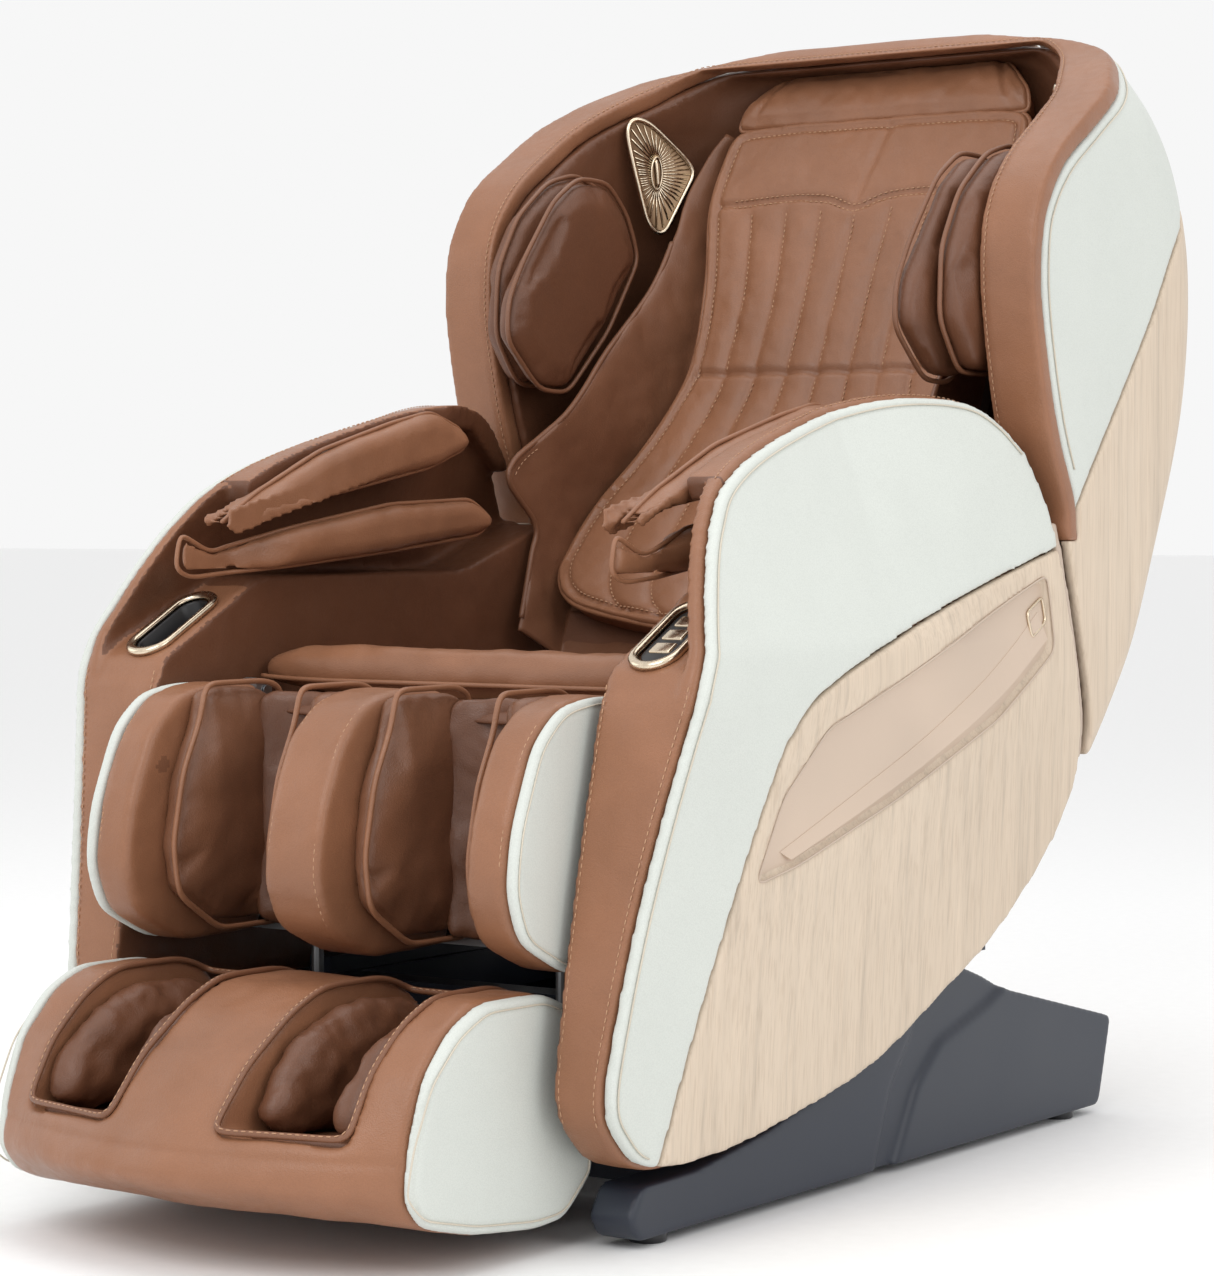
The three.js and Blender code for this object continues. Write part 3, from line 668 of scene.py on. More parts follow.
ARM_TOP = [
    (-421, 235), (-402, 332), (-367, 480), (-351, 530), (-333, 570), (-300, 626), (-271, 662),
    (-230, 697), (-146, 732), (-3, 770), (100, 787), (190, 786), (240, 768), (283, 734),
]
ARM_REAR = [(283, 734), (322, 662), (345, 577), (374, 471), (377, 425), (366, 376)]
ARM_BOTTOM = [
    (366, 376), (305, 307), (208, 234), (113, 185), (-10, 128), (-139, 96), (-261, 76), (-366, 77),
    (-412, 106), (-433, 148), (-421, 235),
]
WOOD_EDGE = [(-350, 92), (-228, 406), (-193, 468), (-146, 503), (-15, 546), (331, 634)]
TRAY = [
    (-233, 325), (-202, 404), (-138, 465), (301, 605), (309, 526), (192, 459), (7, 391), (-165, 338),
]
SLOT = [
    (-430, 480), (-358, 500), (-350, 524), (-232, 588), (-205, 604), (150, 608), (290, 655), (420, 690),
    (420, 716), (275, 716), (190, 762), (100, 765), (-3, 748), (-146, 710), (-215, 676), (-236, 740),
    (-430, 740),
]
SHELF_SLOPE = 0.4974
SHELF_CENTRE = (306, -293, 555)
SHELF_BACK = -222
CREST_WIDTH = 40
ARM_INNER = 268


def arm_outline(step=6):
    parts = [curve(ARM_TOP, step)[:-1], curve(ARM_REAR, step)[:-1], curve(ARM_BOTTOM, step)[:-1]]
    return np.vstack(parts)


def arm_half_width(y, z):
    """How far the swelling outer face of an arm stands from the middle plane."""
    low = np.where(z < 500, 55 * (1 - (z / 500) ** 2) * (0.55 - 0.00107 * y), 0)
    high = np.where(z > 540, 0.37 * (z - 540) * np.minimum(1, 1 - y / 380), 0)
    return HALF_WIDTH - low - high


def barrel(name, inset):
    """The solid whose outer face is the arm's, moved inwards by inset."""
    across = np.linspace(420, -480, 61)
    rings = []
    for z in np.linspace(40, 830, 67):
        width = arm_half_width(across, np.full(len(across), z)) - inset
        ring = np.column_stack([width, across, np.full(len(across), z)])
        rings.append(np.vstack([ring, [(150, -480, z), (150, 420, z)]]))
    return loft(name, rings)


def on_arm(line, lift=0.0):
    """A (y, z) line laid on the arm's outer face."""
    line = np.asarray(line, float)
    return np.column_stack([arm_half_width(line[:, 0], line[:, 1]) + lift, line[:, 0], line[:, 1]])


def on_shelf(points, side=1):
    """From the shelf's own plane (across, along the slope, up) to the chair's frame."""
    points = np.asarray(points, float)
    cos, sin = math.cos(SHELF_SLOPE), math.sin(SHELF_SLOPE)
    return np.column_stack([
        side * (SHELF_CENTRE[0] + points[:, 0]),
        SHELF_CENTRE[1] + points[:, 1] * cos - points[:, 2] * sin,
        SHELF_CENTRE[2] + points[:, 1] * sin + points[:, 2] * cos,
    ])


def stadium(half_long, half_wide, step=2.0):
    straight = half_long - half_wide
    turns = np.linspace(0, math.pi, max(8, int(math.pi * half_wide / step)))
    top = np.column_stack([half_wide * np.cos(turns), straight + half_wide * np.sin(turns)])
    return np.vstack([top, -top])


def stadium_prism(name, half_long, half_wide, z0, z1):
    ring = stadium(half_long, half_wide)
    return loft(name, [np.column_stack([ring, np.full(len(ring), z)]) for z in (z0, z1)])


def build_arm_panels():
    trim = shrunk(arm_outline(), 3)
    skin = combine(barrel("arm_skin", 0), barrel("arm_hollow", PANEL), "DIFFERENCE")
    combine(skin, prism("arm_trim", trim, 200, 400), "INTERSECT")
    edge = curve(WOOD_EDGE, 8)
    above = np.vstack([edge, [(331, 900), (-600, 900), (-600, 40), (-375, 40)]])
    white = combine(copy_of(skin, "arm_panel"), prism("above", above, 200, 400), "INTERSECT")
    remesh(white, 3.2, 16)
    below = np.vstack([edge + (1.4, -1.6), [(420, 655), (420, 40), (-371, 40)]])
    wood = combine(skin, prism("below", below, 200, 400), "INTERSECT")
    tray = closed_loop(TRAY, 5, rounds=8)
    floor = combine(prism("tray", tray, 200, 400), barrel("tray_floor", 8), "DIFFERENCE")
    combine(wood, floor, "DIFFERENCE")
    remesh(wood, 3.2, 8)
    inset = shrunk(arm_outline(), 10)
    top_count = len(curve(ARM_TOP, 6)) - 1
    toe = inset[top_count:]
    toe = toe[toe[:, 0] < -372]
    path = on_arm(even(np.vstack([toe, inset[:top_count]]), 5), 0.3)
    press(white, [path], 1.2, 3.0)
    both_sides(white, "arm_panel", "white", "seat", replaces=["arm_panel"])
    both_sides(wood, "arm_side_panel", "wood", "seat", replaces=["arm_side_panel"])
    edging("arm_panel_seam", path, 0.9, CREAM_CORD, "seat", closed=False)


def build_tray_trim():
    loop = closed_loop(TRAY, 4, rounds=8)
    edging("tray_line", on_arm(loop, -0.6), 1.1, "taupe", "seat")
    upper = spread(curve([(-190, 352), (-60, 402), (60, 449), (180, 506), (286, 566)], 6), 60)
    lower = spread(curve([(-176, 344), (-50, 385), (70, 428), (192, 480), (296, 538)], 6), 60)
    rings = []
    for top, bottom in zip(on_arm(upper, -7.5), on_arm(lower, -7.5)):
        rings.append([top, bottom, bottom + (5.5, 0, 0), top + (1.0, 0, 0)])
    ledge = loft("tray_ledge", rings)
    ledge.data.shade_flat()
    both_sides(ledge, "tray_ledge", "tray", "seat")
    down = np.array([-0.7, 0, 0])
    floor = patch("tray_floor", shrunk(loop, 1.5), lambda flat, edge: on_arm(flat, -7.0), down)
    both_sides(floor, "tray_floor", "tray", "seat")
    grip = closed_loop([(262, 566), (296, 582), (300, 556), (268, 540)], 3, rounds=3)
    edging("tray_grip", on_arm(grip, -5.6), 1.6, "gold", "seat")


def build_arm_cores():
    """The upholstered arm, with the forearm slot and the small shelf at its front."""
    outline = arm_outline()
    core = prism("arm_core", outline, ARM_INNER, 400)
    combine(core, barrel("core_limit", PANEL + 0.4), "INTERSECT")
    slot = closed_loop(SLOT, 5, rounds=3)
    hollow = combine(prism("slot", slot, 150, 400), barrel("slot_wall", PANEL + 16), "INTERSECT")
    combine(core, hollow, "DIFFERENCE")
    pocket = stadium_prism("pocket", 50.5, 18.5, -34, 20)
    set_points(pocket, on_shelf(points_of(pocket)))
    combine(core, pocket, "DIFFERENCE")
    over_crest = np.array([(40, 700), (420, 640), (420, 820), (40, 820)], float)
    crest_room = prism("crest_room", over_crest, 150, 400)
    combine(crest_room, barrel("crest_limit", PANEL + CREST_WIDTH), "INTERSECT")
    combine(core, crest_room, "DIFFERENCE")
    remesh(core, 4.0, 7)
    ripple(core, 90, 1.2, seed=3)
    front = outline[(outline[:, 1] > 120) & (outline[:, 0] < -340) & (outline[:, 1] < 520)]
    front = even(front[np.argsort(front[:, 1])], 5)
    for piece in both_sides(core, "arm_core", "leather", "seat", replaces=["arm_core"]):
        # The inner faces and the inside of the slot get the darker brown as painted shade of the recess.
        reline(piece, "dark_leather", lambda p, n: arm_faces_in_painted_shade(p, n, slot))
    inner = np.column_stack([np.full(len(front), ARM_INNER + 5.5), front[:, 0] - 0.3, front[:, 1]])
    outer = on_arm(front, -PANEL - 6)
    outer[:, 1] -= 0.3
    thread = stitches("arm_front_stitches", [inner, outer])
    both_sides(thread, "arm_front_stitches", THREAD, "seat")
    crest = curve(ARM_TOP, 5)
    crest = crest[crest[:, 1] > 700]
    edge = on_arm(crest, -PANEL - 6) + (0, 0, 0.2)
    both_sides(stitches("arm_crest_stitches", [edge]), "arm_crest_stitches", THREAD, "seat")
    build_arm_rear_strip()


def arm_faces_in_painted_shade(centres, normals, slot):
    """The faces of an arm that look at the sitter, and those inside the forearm slot: these get the darker
    brown as painted shade.
    """
    looks_in = np.sign(centres[:, 0]) * normals[:, 0] < -0.6
    in_slot = inside(shrunk(slot, -6), centres[:, 1:]) & (np.abs(centres[:, 0]) < 372)
    return looks_in | (in_slot & (centres[:, 1] > SHELF_BACK))


def build_arm_rear_strip():
    rear = curve(ARM_REAR, 5)
    rear = rear[(rear[:, 1] > 410) & (rear[:, 1] < 662)]
    rings = []
    for y, z in rear:
        out = float(arm_half_width(np.array(y), np.array(z))) - 2
        rings.append([(out - 66, y - 7, z), (out, y - 7, z), (out, y + 4, z), (out - 66, y + 4, z)])
    strip = remesh(loft("arm_rear_strip", rings), 2.6, 3)
    both_sides(strip, "arm_rear_strip", "taupe", "seat")


def flap(name, outline, swell, seed, cut=None):
    """A soft flap over the forearm airbag, with a piped edge."""
    loop = closed_loop(outline, 5, rounds=6)
    body = slab(name, shrunk(loop, 2), 228, ARM_INNER - 1.5, 14, steps=4)
    if cut is not None:
        combine(body, cut, "DIFFERENCE")
    remesh(body, 4.0, 6)
    ripple(body, 95, swell, seed=seed)
    edge = np.column_stack([np.full(len(loop), 244.0), shrunk(loop, 1.0)])
    return body, edge


def beside_calf(name):
    """The space that the raised calf rest passes through, which the lower flap keeps clear of."""
    ring = [(150, -400), (260, -400), (260, -262), (225, -185), (150, -185)]
    return loft(name, [np.array([(x, y, z) for x, y in ring], float) for z in (400, 800)])


def build_flaps():
    upper = [
        (-296, 657), (-239, 690), (-135, 735), (-17, 766), (53, 780), (110, 762), (119, 741), (52, 718),
        (-102, 690), (-247, 670),
    ]
    lower = [
        (-339, 612), (-331, 650), (-286, 630), (-184, 655), (-18, 680), (125, 686), (165, 664), (143, 645),
        (-18, 628), (-184, 614), (-316, 603),
    ]
    body, edge = flap("forearm_flap_upper", upper, 2.0, 5)
    both_sides(body, "forearm_flap_upper", "leather", "seat", replaces=["forearm_flap_upper"])
    edging("flap_upper_piping", edge, 2.4, "leather", "seat")
    body, edge = flap("forearm_flap_lower", lower, 2.0, 8, beside_calf("calf_space"))
    both_sides(body, "forearm_flap_lower", "leather", "seat", replaces=["forearm_flap_lower"])
    edge[:, 0] = np.interp(edge[:, 1], [-340, -262, -185, 200], [263.5, 262.5, 244, 244])
    edging("flap_lower_piping", edge, 2.4, "leather", "seat")


# how far across from the bezel's outer to its inner edge, and the height there
BEZEL_PROFILE = [(0, 0.4), (0, 4.5), (0.15, 6.3), (0.4, 7.0), (0.75, 6.2), (1, 4.2), (1, 0.4)]


def build_shelves():
    """Gold rings in the arm shelves: a pocket on the right arm, three keys on the left."""
    for side, word in ((1, "left"), (-1, "right")):
        outer, inner = stadium(62, 27), stadium(51.5, 19)
        count = 120
        outer = even(np.vstack([outer, outer[:1]]), 1, closed=True)
        inner = even(np.vstack([inner, inner[:1]]), 1, closed=True)
        outer = outer[np.linspace(0, len(outer) - 1, count).astype(int)]
        inner = inner[np.linspace(0, len(inner) - 1, count).astype(int)]
        rings = []
        for share, height in BEZEL_PROFILE:
            rings.append(np.column_stack([outer * (1 - share) + inner * share, np.full(count, height)]))
        points = on_shelf(np.vstack(rings), side)
        faces = []
        for r in range(len(rings)):
            near, far = r * count, (r + 1) % len(rings) * count
            for i in range(count):
                j = (i + 1) % count
                faces.append((near + i, near + j, far + j, far + i))
        ring = outward(mesh(f"bezel_{word}_look", points, faces))
        dress(ring, "gold", "seat", replaces=[f"bezel_{word}"])
    build_keys()
    build_pocket()


def plate(name, half_long, half_wide, low, high, edge):
    """A stadium-shaped plate with a rounded upper edge."""
    ring = stadium(half_long, half_wide, 1.5)
    rings = [np.column_stack([ring, np.full(len(ring), low)])]
    for turn in np.linspace(0, math.pi / 2, 5):
        inset = edge * (1 - math.cos(turn))
        keep = shrunk(ring, inset)
        rings.append(np.column_stack([keep, np.full(len(ring), high - edge * (1 - math.sin(turn)))]))
    return loft(name, rings)


def rounded_box(name, lengths, edge):
    """A box about the origin with rounded edges."""
    work = bmesh.new()
    bmesh.ops.create_cube(work, size=1.0)
    bmesh.ops.scale(work, vec=Vector(lengths) * MM, verts=work.verts)
    bmesh.ops.bevel(work, geom=work.edges[:], offset=edge * MM, segments=4, profile=0.5, affect="EDGES")
    data = bpy.data.meshes.new(name)
    work.to_mesh(data)
    work.free()
    data.shade_smooth()
    obj = bpy.data.objects.new(name, data)
    bpy.context.scene.collection.objects.link(obj)
    return obj


def build_keys():
    panel = plate("control_panel_look", 49, 17.2, -12, 1.6, 1.2)
    set_points(panel, on_shelf(points_of(panel)))
    dress(panel, "black", "seat", replaces=["control_panel"])
    for number, place in enumerate((-24, 0, 24), start=1):
        key = rounded_box(f"control_key_{number}_look", (23, 17, 7), 2.0)
        points = points_of(key) + (0, place, 0)
        dish = np.exp(-((points[:, 0] / 7) ** 2 + ((points[:, 1] - place) / 5) ** 2))
        points[:, 2] -= np.where(points[:, 2] > 2.5, 0.8 * dish, 0)
        set_points(key, on_shelf(points))
        dress(key, "gold", f"key_{number}", replaces=[f"control_key_{number}"])


POCKET_SIZE = (49, 17.2)
# half-length, half-width and height, from the bottom outside, over the lip, to the floor inside
POCKET_PROFILE = [
    (49, 17.2, -33), (49, 17.2, 0), (50, 18, 1.2), (48, 16.4, 1.2), (47, 15.2, 0), (46.6, 14.8, -28),
    (44, 12, -31),
]


def build_pocket():
    rings = []
    for half_long, half_wide, height in POCKET_PROFILE:
        ring = stadium(*POCKET_SIZE)
        scale = (half_wide / POCKET_SIZE[1], half_long / POCKET_SIZE[0])
        rings.append(np.column_stack([ring * scale, np.full(len(ring), height)]))
    liner = loft("pocket_liner_look", rings)
    set_points(liner, on_shelf(points_of(liner), -1))
    liner.data.flip_normals()
    dress(outward(liner), "black", "seat", replaces=["pocket_liner"])


# Hood


# The lowest levels stand 3 to 6 mm inside the frame's, to clear the base rails when the chair reclines.
HOOD_LEVELS = [
    (400, 435, 381, 80, 80), (458, 491, 381, 80, 80), (532, 551, 381, 80, 80), (629, 602, 381, 80, 80),
    (739, 654, 381, 80, 80), (818, 678, 381, 80, 80), (908, 687, 381, 80, 80), (984, 687, 381, 80, 101),
    (1058, 687, 381, 100, 170), (1109, 686, 381, 125, 277), (1145, 683, 381, 150, 410),
    (1180, 676, 375, 190, 470), (1202, 664, 345, 250, 480), (1218, 640, 250, 220, 420),
]
CAVITY_LEVELS = [
    (380, 380, 316, 60, 60), (458, 452, 316, 70, 70), (532, 512, 316, 80, 80), (629, 560, 316, 85, 90),
    (739, 609, 316, 90, 100), (818, 633, 316, 90, 115), (908, 642, 316, 90, 130), (984, 646, 316, 95, 160),
    (1058, 650, 316, 110, 215), (1109, 652, 316, 125, 270), (1145, 652, 312, 140, 340),
    (1180, 650, 305, 150, 380), (1198, 642, 290, 150, 380),
]
HOOD_FRONT = [
    (392, 412), (391, 471), (360, 577), (338, 650), (336, 672), (295, 755), (265, 858), (258, 929),
    (270, 991), (314, 1047), (382, 1094), (464, 1145), (540, 1185), (604, 1230),
]
HOOD_WOOD_EDGE = [(300, 604), (353, 662), (387, 704), (529, 869), (603, 972), (720, 1110)]


def dome(name, levels, inset):
    rings = []
    turns = np.linspace(0, math.pi / 2, 22)
    for z, rear, half, corner_width, corner_depth in curve(levels, 9):
        w, y = half - inset, rear - inset
        a, b = corner_width - inset * 0.5, corner_depth - inset * 0.5
        arc = np.column_stack([w - a + a * np.cos(turns), y - b + b * np.sin(turns)])
        side = np.column_stack([np.full(24, w), np.linspace(100, y - b, 24)])[:-1]
        rear_line = np.column_stack([np.linspace(w - a, 0, 14), np.full(14, y)])[1:-1]
        half_ring = np.vstack([side, arc, rear_line])
        ring = np.vstack([half_ring, (half_ring * (-1, 1))[::-1]])
        rings.append(np.column_stack([ring, np.full(len(ring), z)]))
    rings[-1][:, 2] -= inset
    return loft(name, rings)


def front_line(offset, step=6):
    """The hood's front edge moved back by offset."""
    line = curve(HOOD_FRONT, step)
    along = np.gradient(line, axis=0)
    along /= np.linalg.norm(along, axis=1, keepdims=True)
    return line + np.column_stack([along[:, 1], -along[:, 0]]) * offset


def front_cut(name, offset):
    edge = front_line(offset)
    return prism(name, np.vstack([edge, [(900, 1240), (900, 380), (edge[0][0], 380)]]), -500, 500)


def block(name, x0, x1, y0, y1, z0, z1):
    ring = [(x0, y0), (x1, y0), (x1, y1), (x0, y1)]
    return loft(name, [np.array([(x, y, z) for x, y in ring], float) for z in (z0, z1)])


def level_at(levels, z):
    table = np.asarray(curve(levels, 5))
    return [float(np.interp(z, table[:, 0], table[:, k])) for k in range(1, 5)]


def side_at(levels, y, z, inset=0.0):
    """How far out the hood's wall is at (y, z)."""
    rear, half, corner_width, corner_depth = level_at(levels, z)
    w, rear = half - inset, rear - inset
    a, b = corner_width - inset * 0.5, corner_depth - inset * 0.5
    past = np.clip((y - (rear - b)) / b, 0, 1)
    return w - a + a * math.sqrt(1 - past * past)


def rim_path(offset, grow):
    """A line round the rim's opening, offset behind the front and grow outside the cavity."""
    line = front_line(offset, 5)
    top = 1198 + grow
    rising = line[(line[:, 1] > 668) & (line[:, 1] < top)]
    side = np.array([(side_at(CAVITY_LEVELS, y, min(z, 1198), -grow), y, z) for y, z in rising])
    y_top = float(np.interp(top, line[:, 1], line[:, 0]))
    across = np.linspace(side[-1][0], 0, 40)[1:]
    over = np.column_stack([across, np.full(len(across), y_top), np.full(len(across), top)])
    half = np.vstack([side, over])
    for _ in range(12):
        half[1:-1] = 0.5 * half[1:-1] + 0.25 * (half[:-2] + half[2:])
    return even(np.vstack([half, (half * (-1, 1, 1))[::-1][1:]]), 5)


def build_hood():
    outer = dome("hood_outer", HOOD_LEVELS, 0)
    cavity = dome("cavity", CAVITY_LEVELS, 0)
    rim = combine(copy_of(outer, "hood_rim_look"), front_cut("front", 0), "INTERSECT")
    combine(rim, block("above_arm", -500, 500, 0, 900, 640, 1300), "INTERSECT")
    combine(rim, front_cut("behind_rim", 22), "DIFFERENCE")
    combine(rim, copy_of(cavity, "rim_cavity"), "DIFFERENCE")
    remesh(rim, 3.2, 16)
    seam = rim_path(0, 7)
    press(rim, [seam], 1.4, 3.2)
    ripple(rim, 120, 1.2, seed=2)
    dress(rim, "leather", "backrest", replaces=["hood_rim"])
    thread = stitches("hood_rim_stitches", [seam + (0, -0.4, 0)])
    dress(thread, THREAD, "backrest")
    build_hood_shell(cavity)
    skin = combine(outer, dome("hood_hollow", HOOD_LEVELS, PANEL), "DIFFERENCE")
    combine(skin, block("above_floor", -500, 500, 0, 900, 412, 1300), "INTERSECT")
    low = combine(copy_of(skin, "low_skin"), front_cut("low_front", 1), "INTERSECT")
    combine(low, block("beside_arm", -500, 500, 0, 900, 300, 640), "INTERSECT")
    combine(skin, front_cut("cover_front", 22.8), "INTERSECT")
    combine(skin, low, "UNION")
    build_hood_covers(skin)


def build_hood_shell(cavity):
    shell = dome("hood_shell_look", HOOD_LEVELS, PANEL + 1)
    combine(shell, block("shell_floor", -500, 500, 0, 900, 412, 1300), "INTERSECT")
    low = combine(copy_of(shell, "low_shell"), front_cut("low_shell_front", 0), "INTERSECT")
    combine(low, block("shell_low", -500, 500, 0, 900, 300, 639.6), "INTERSECT")
    combine(shell, front_cut("shell_front", 22.4), "INTERSECT")
    combine(shell, low, "UNION")
    drop(cavity)
    combine(shell, dome("shell_cavity", CAVITY_LEVELS, 6), "DIFFERENCE")
    remesh(shell, 5.0, 6)
    ripple(shell, 110, 1.6, seed=9)
    dress(shell, "dark_leather", "backrest", replaces=["hood_shell"])


def build_hood_covers(skin):
    edge = curve(HOOD_WOOD_EDGE, 8)
    side = combine(copy_of(skin, "hood_side"), block("side_half", 200, 500, 0, 900, 300, 1300), "INTERSECT")
    above = np.vstack([edge + (-1, 1.4), [(720, 1300), (200, 1300), (200, 604)]])
    white = combine(copy_of(side, "hood_panel"), prism("hood_above", above, -500, 500), "INTERSECT")
    remesh(white, 3.6, 12)
    below = np.vstack([edge, [(720, 300), (300, 300)]])
    wood = combine(side, prism("hood_below", below, -500, 500), "INTERSECT")
    remesh(wood, 4.0, 4)
    seam = cover_seam()
    press(white, [seam], 1.2, 3.0)
    both_sides(white, "hood_panel", "white", "backrest", replaces=["hood_panel"])
    both_sides(wood, "hood_side_panel", "wood", "backrest", replaces=["hood_side_panel"])
    edging("hood_panel_seam", seam, 0.9, CREAM_CORD, "backrest", closed=False)
    rear = combine(skin, block("rear_half", -199, 199, 0, 900, 300, 1300), "INTERSECT")
    remesh(rear, 4.0, 4)
    dress(rear, "taupe", "backrest", replaces=["rear_cover"])
    slots = []
    for row in range(9):
        z = 560 + row * 16
        y = level_at(HOOD_LEVELS, z)[0]
        bar = rounded_box(f"vent_{row}", (190, 5, 6), 1.5)
        set_points(bar, points_of(bar) + (0, y - 1.2, z))
        slots.append(bar)
    dress(join("rear_cover_vents", slots), "black", "backrest")


def cover_seam():
    line = front_line(33, 5)
    line = line[(line[:, 1] > 712) & (line[:, 1] < 1190)]
    return np.array([(side_at(HOOD_LEVELS, y, z) + 0.3, y, z) for y, z in line])


# Padded patches: a closed outline filled with a raised, sewn surface


def inside(loop, points):
    """Which points lie inside a closed loop."""
    x, y = points[:, 0], points[:, 1]
    hit = np.zeros(len(points), bool)
    for (x0, y0), (x1, y1) in zip(loop, np.roll(loop, -1, axis=0)):
        cross = (y0 > y) != (y1 > y)
        with np.errstate(divide="ignore", invalid="ignore"):
            hit ^= cross & (x < (x1 - x0) * (y - y0) / (y1 - y0) + x0)
    return hit


def distance_to(loop, points):
    far = np.full(len(points), 1e9)
    for start in range(0, len(points), 4000):
        part = points[start:start + 4000]
        gaps = np.linalg.norm(part[:, None, :] - loop[None, :, :], axis=2)
        far[start:start + 4000] = gaps.min(axis=1)
    return far


def rounded(edge, reach, height):
    """The height of a padded surface that rises from its edge and is level past reach."""
    return height * np.sqrt(np.clip(1 - (1 - np.clip(edge / reach, 0, 1)) ** 2, 0, 1))


def patch(name, loop, surface, depth, spacing=4.0, extra=None):
    """A closed pad: surface(points, edge distance) gives 3-D points, depth moves its back."""
    low, high = loop.min(axis=0), loop.max(axis=0)
    across, up = np.meshgrid(np.arange(low[0], high[0], spacing), np.arange(low[1], high[1], spacing))
    grid = np.column_stack([across.ravel(), up.ravel()]) if extra is None else extra
    grid = grid[inside(loop, grid)]
    grid = grid[distance_to(loop, grid) > 7.5]
    rings = [shrunk(loop, inset) for inset in (1.2, 2.8, 4.8)]
    flat = np.vstack([loop, *rings, grid])
    count = len(loop)
    edges = [(i, (i + 1) % count) for i in range(count)]
    made = geometry.delaunay_2d_cdt([Vector(p) for p in flat], edges, [], 1, 1e-4)
    flat = np.array([tuple(p) for p in made[0]])
    faces = [tuple(face) for face in made[2]]
    edge = distance_to(loop, flat)
    edge[:count] = 0
    front = surface(flat, edge)
    back = front[:count] + depth
    faces = [face if triangle_turn(flat, face) > 0 else face[::-1] for face in faces]
    base = len(front)
    for i in range(count):
        j = (i + 1) % count
        faces.append((j, i, base + i, base + j))
    hub = base + count
    for i in range(count):
        faces.append((base + (i + 1) % count, base + i, hub))
    middle = back.mean(axis=0)
    return outward(mesh(name, np.vstack([front, back, [middle]]), faces))


def triangle_turn(flat, face):
    a, b, c = (flat[i] for i in face[:3])
    return (b[0] - a[0]) * (c[1] - a[1]) - (b[1] - a[1]) * (c[0] - a[0])


# Backrest pads, in the leaning frame: x, depth to the rear, way up the back

PAD_LEVELS = [
    (128, 120, -122), (150, 205, -118), (190, 244, -109), (240, 248, -99), (300, 236, -91), (366, 208, -84),
    (440, 182, -83), (500, 173, -87), (600, 184, -97), (690, 203, -106), (760, 203, -108), (798, 190, -109),
]
CROSS_SEAM = 472
TOP_SEAM = 693
CHANNELS = 8
EDGE_ROLL = 12


def pad_table():
    return np.asarray(curve(PAD_LEVELS, 4))


def pad_loop():
    side = [(half, along) for along, half, _ in PAD_LEVELS]
    side = [(60, 119)] + side + [(120, 806)]
    right = curve(side, 4.5)
    ring = np.vstack([right, (right * (-1, 1))[::-1]])
    return closed_loop(ring, 4.5, rounds=5)


def top_seam(x):
    return TOP_SEAM - 13 * np.exp(-((x / 26) ** 2)) + 5 * np.exp(-(((np.abs(x) - 90) / 60) ** 2))


def pad_height(x, along, edge, table):
    """How far the quilted surface stands out from the pad's side."""
    half = np.interp(along, table[:, 0], np.maximum(table[:, 1], 178)) - EDGE_ROLL
    place = x / half * CHANNELS / 2
    line = np.abs(place - np.round(place)) * 2
    crest = 1 - (1 - np.clip(line, 0, 1)) ** 2.4
    seam = top_seam(x)
    quilted = (along < seam) & (np.abs(np.round(place)) < CHANNELS / 2)
    fade = np.clip((seam - along) / 30, 0, 1)
    height = 8.0 * np.ones_like(x)
    height -= np.where(quilted, 5.2 * (1 - crest) * fade, 0)
    height -= 5.5 * np.exp(-(((along - CROSS_SEAM) / 4.5) ** 2))
    height -= 5.0 * np.exp(-(((along - seam) / 4.2) ** 2))
    crease = 0.16 * (along - TOP_SEAM)
    upper = np.clip((along - seam) / 12, 0, 1)
    height -= 3.2 * upper * np.exp(-(((x - crease) / 6.5) ** 2))
    roll = np.clip(edge / EDGE_ROLL, 0, 1)
    rolled = 9.5 * np.sqrt(np.clip(1 - (1 - 2 * roll) ** 2, 0, 1)) * 0.9
    height = np.where(edge < EDGE_ROLL, np.maximum(rolled, 9.0 * (roll > 0.5)), height)
    height -= 6.0 * np.exp(-(((edge - EDGE_ROLL) / 3.2) ** 2))
    return height


def pad_surface(flat, edge, table, lift=0.0):
    x, along = flat[:, 0], flat[:, 1]
    front = np.interp(along, table[:, 0], table[:, 2]) + 9
    height = pad_height(x, along, edge, table) + lift
    points = np.column_stack([x, front - height, along])
    return back_to_world(points)


def build_back_pad():
    table = pad_table()
    loop = pad_loop()
    rows = np.arange(118, 806, 3.4)
    columns = np.linspace(-1.2, 1.2, 133)
    extra = []
    for along in rows:
        half = np.interp(along, table[:, 0], np.maximum(table[:, 1], 178)) - EDGE_ROLL
        extra.append(np.column_stack([columns * half, np.full(len(columns), along)]))
    depth = back_to_world([(0, 26, 0)])[0] - back_to_world([(0, 0, 0)])[0]
    pad = patch("back_pad_look", loop, lambda f, e: pad_surface(f, e, table), depth, extra=np.vstack(extra))
    points = points_of(pad)
    normals = normals_of(pad)
    for i, point in enumerate(points):
        value = noise.fractal(Vector(point / 48), 0.7, 2.0, 3)
        points[i] = point + normals[i] * value * 1.6
    set_points(pad, points)
    dress(pad, "leather", "backrest", replaces=["back_pad"])
    sew_back_pad(table, loop)


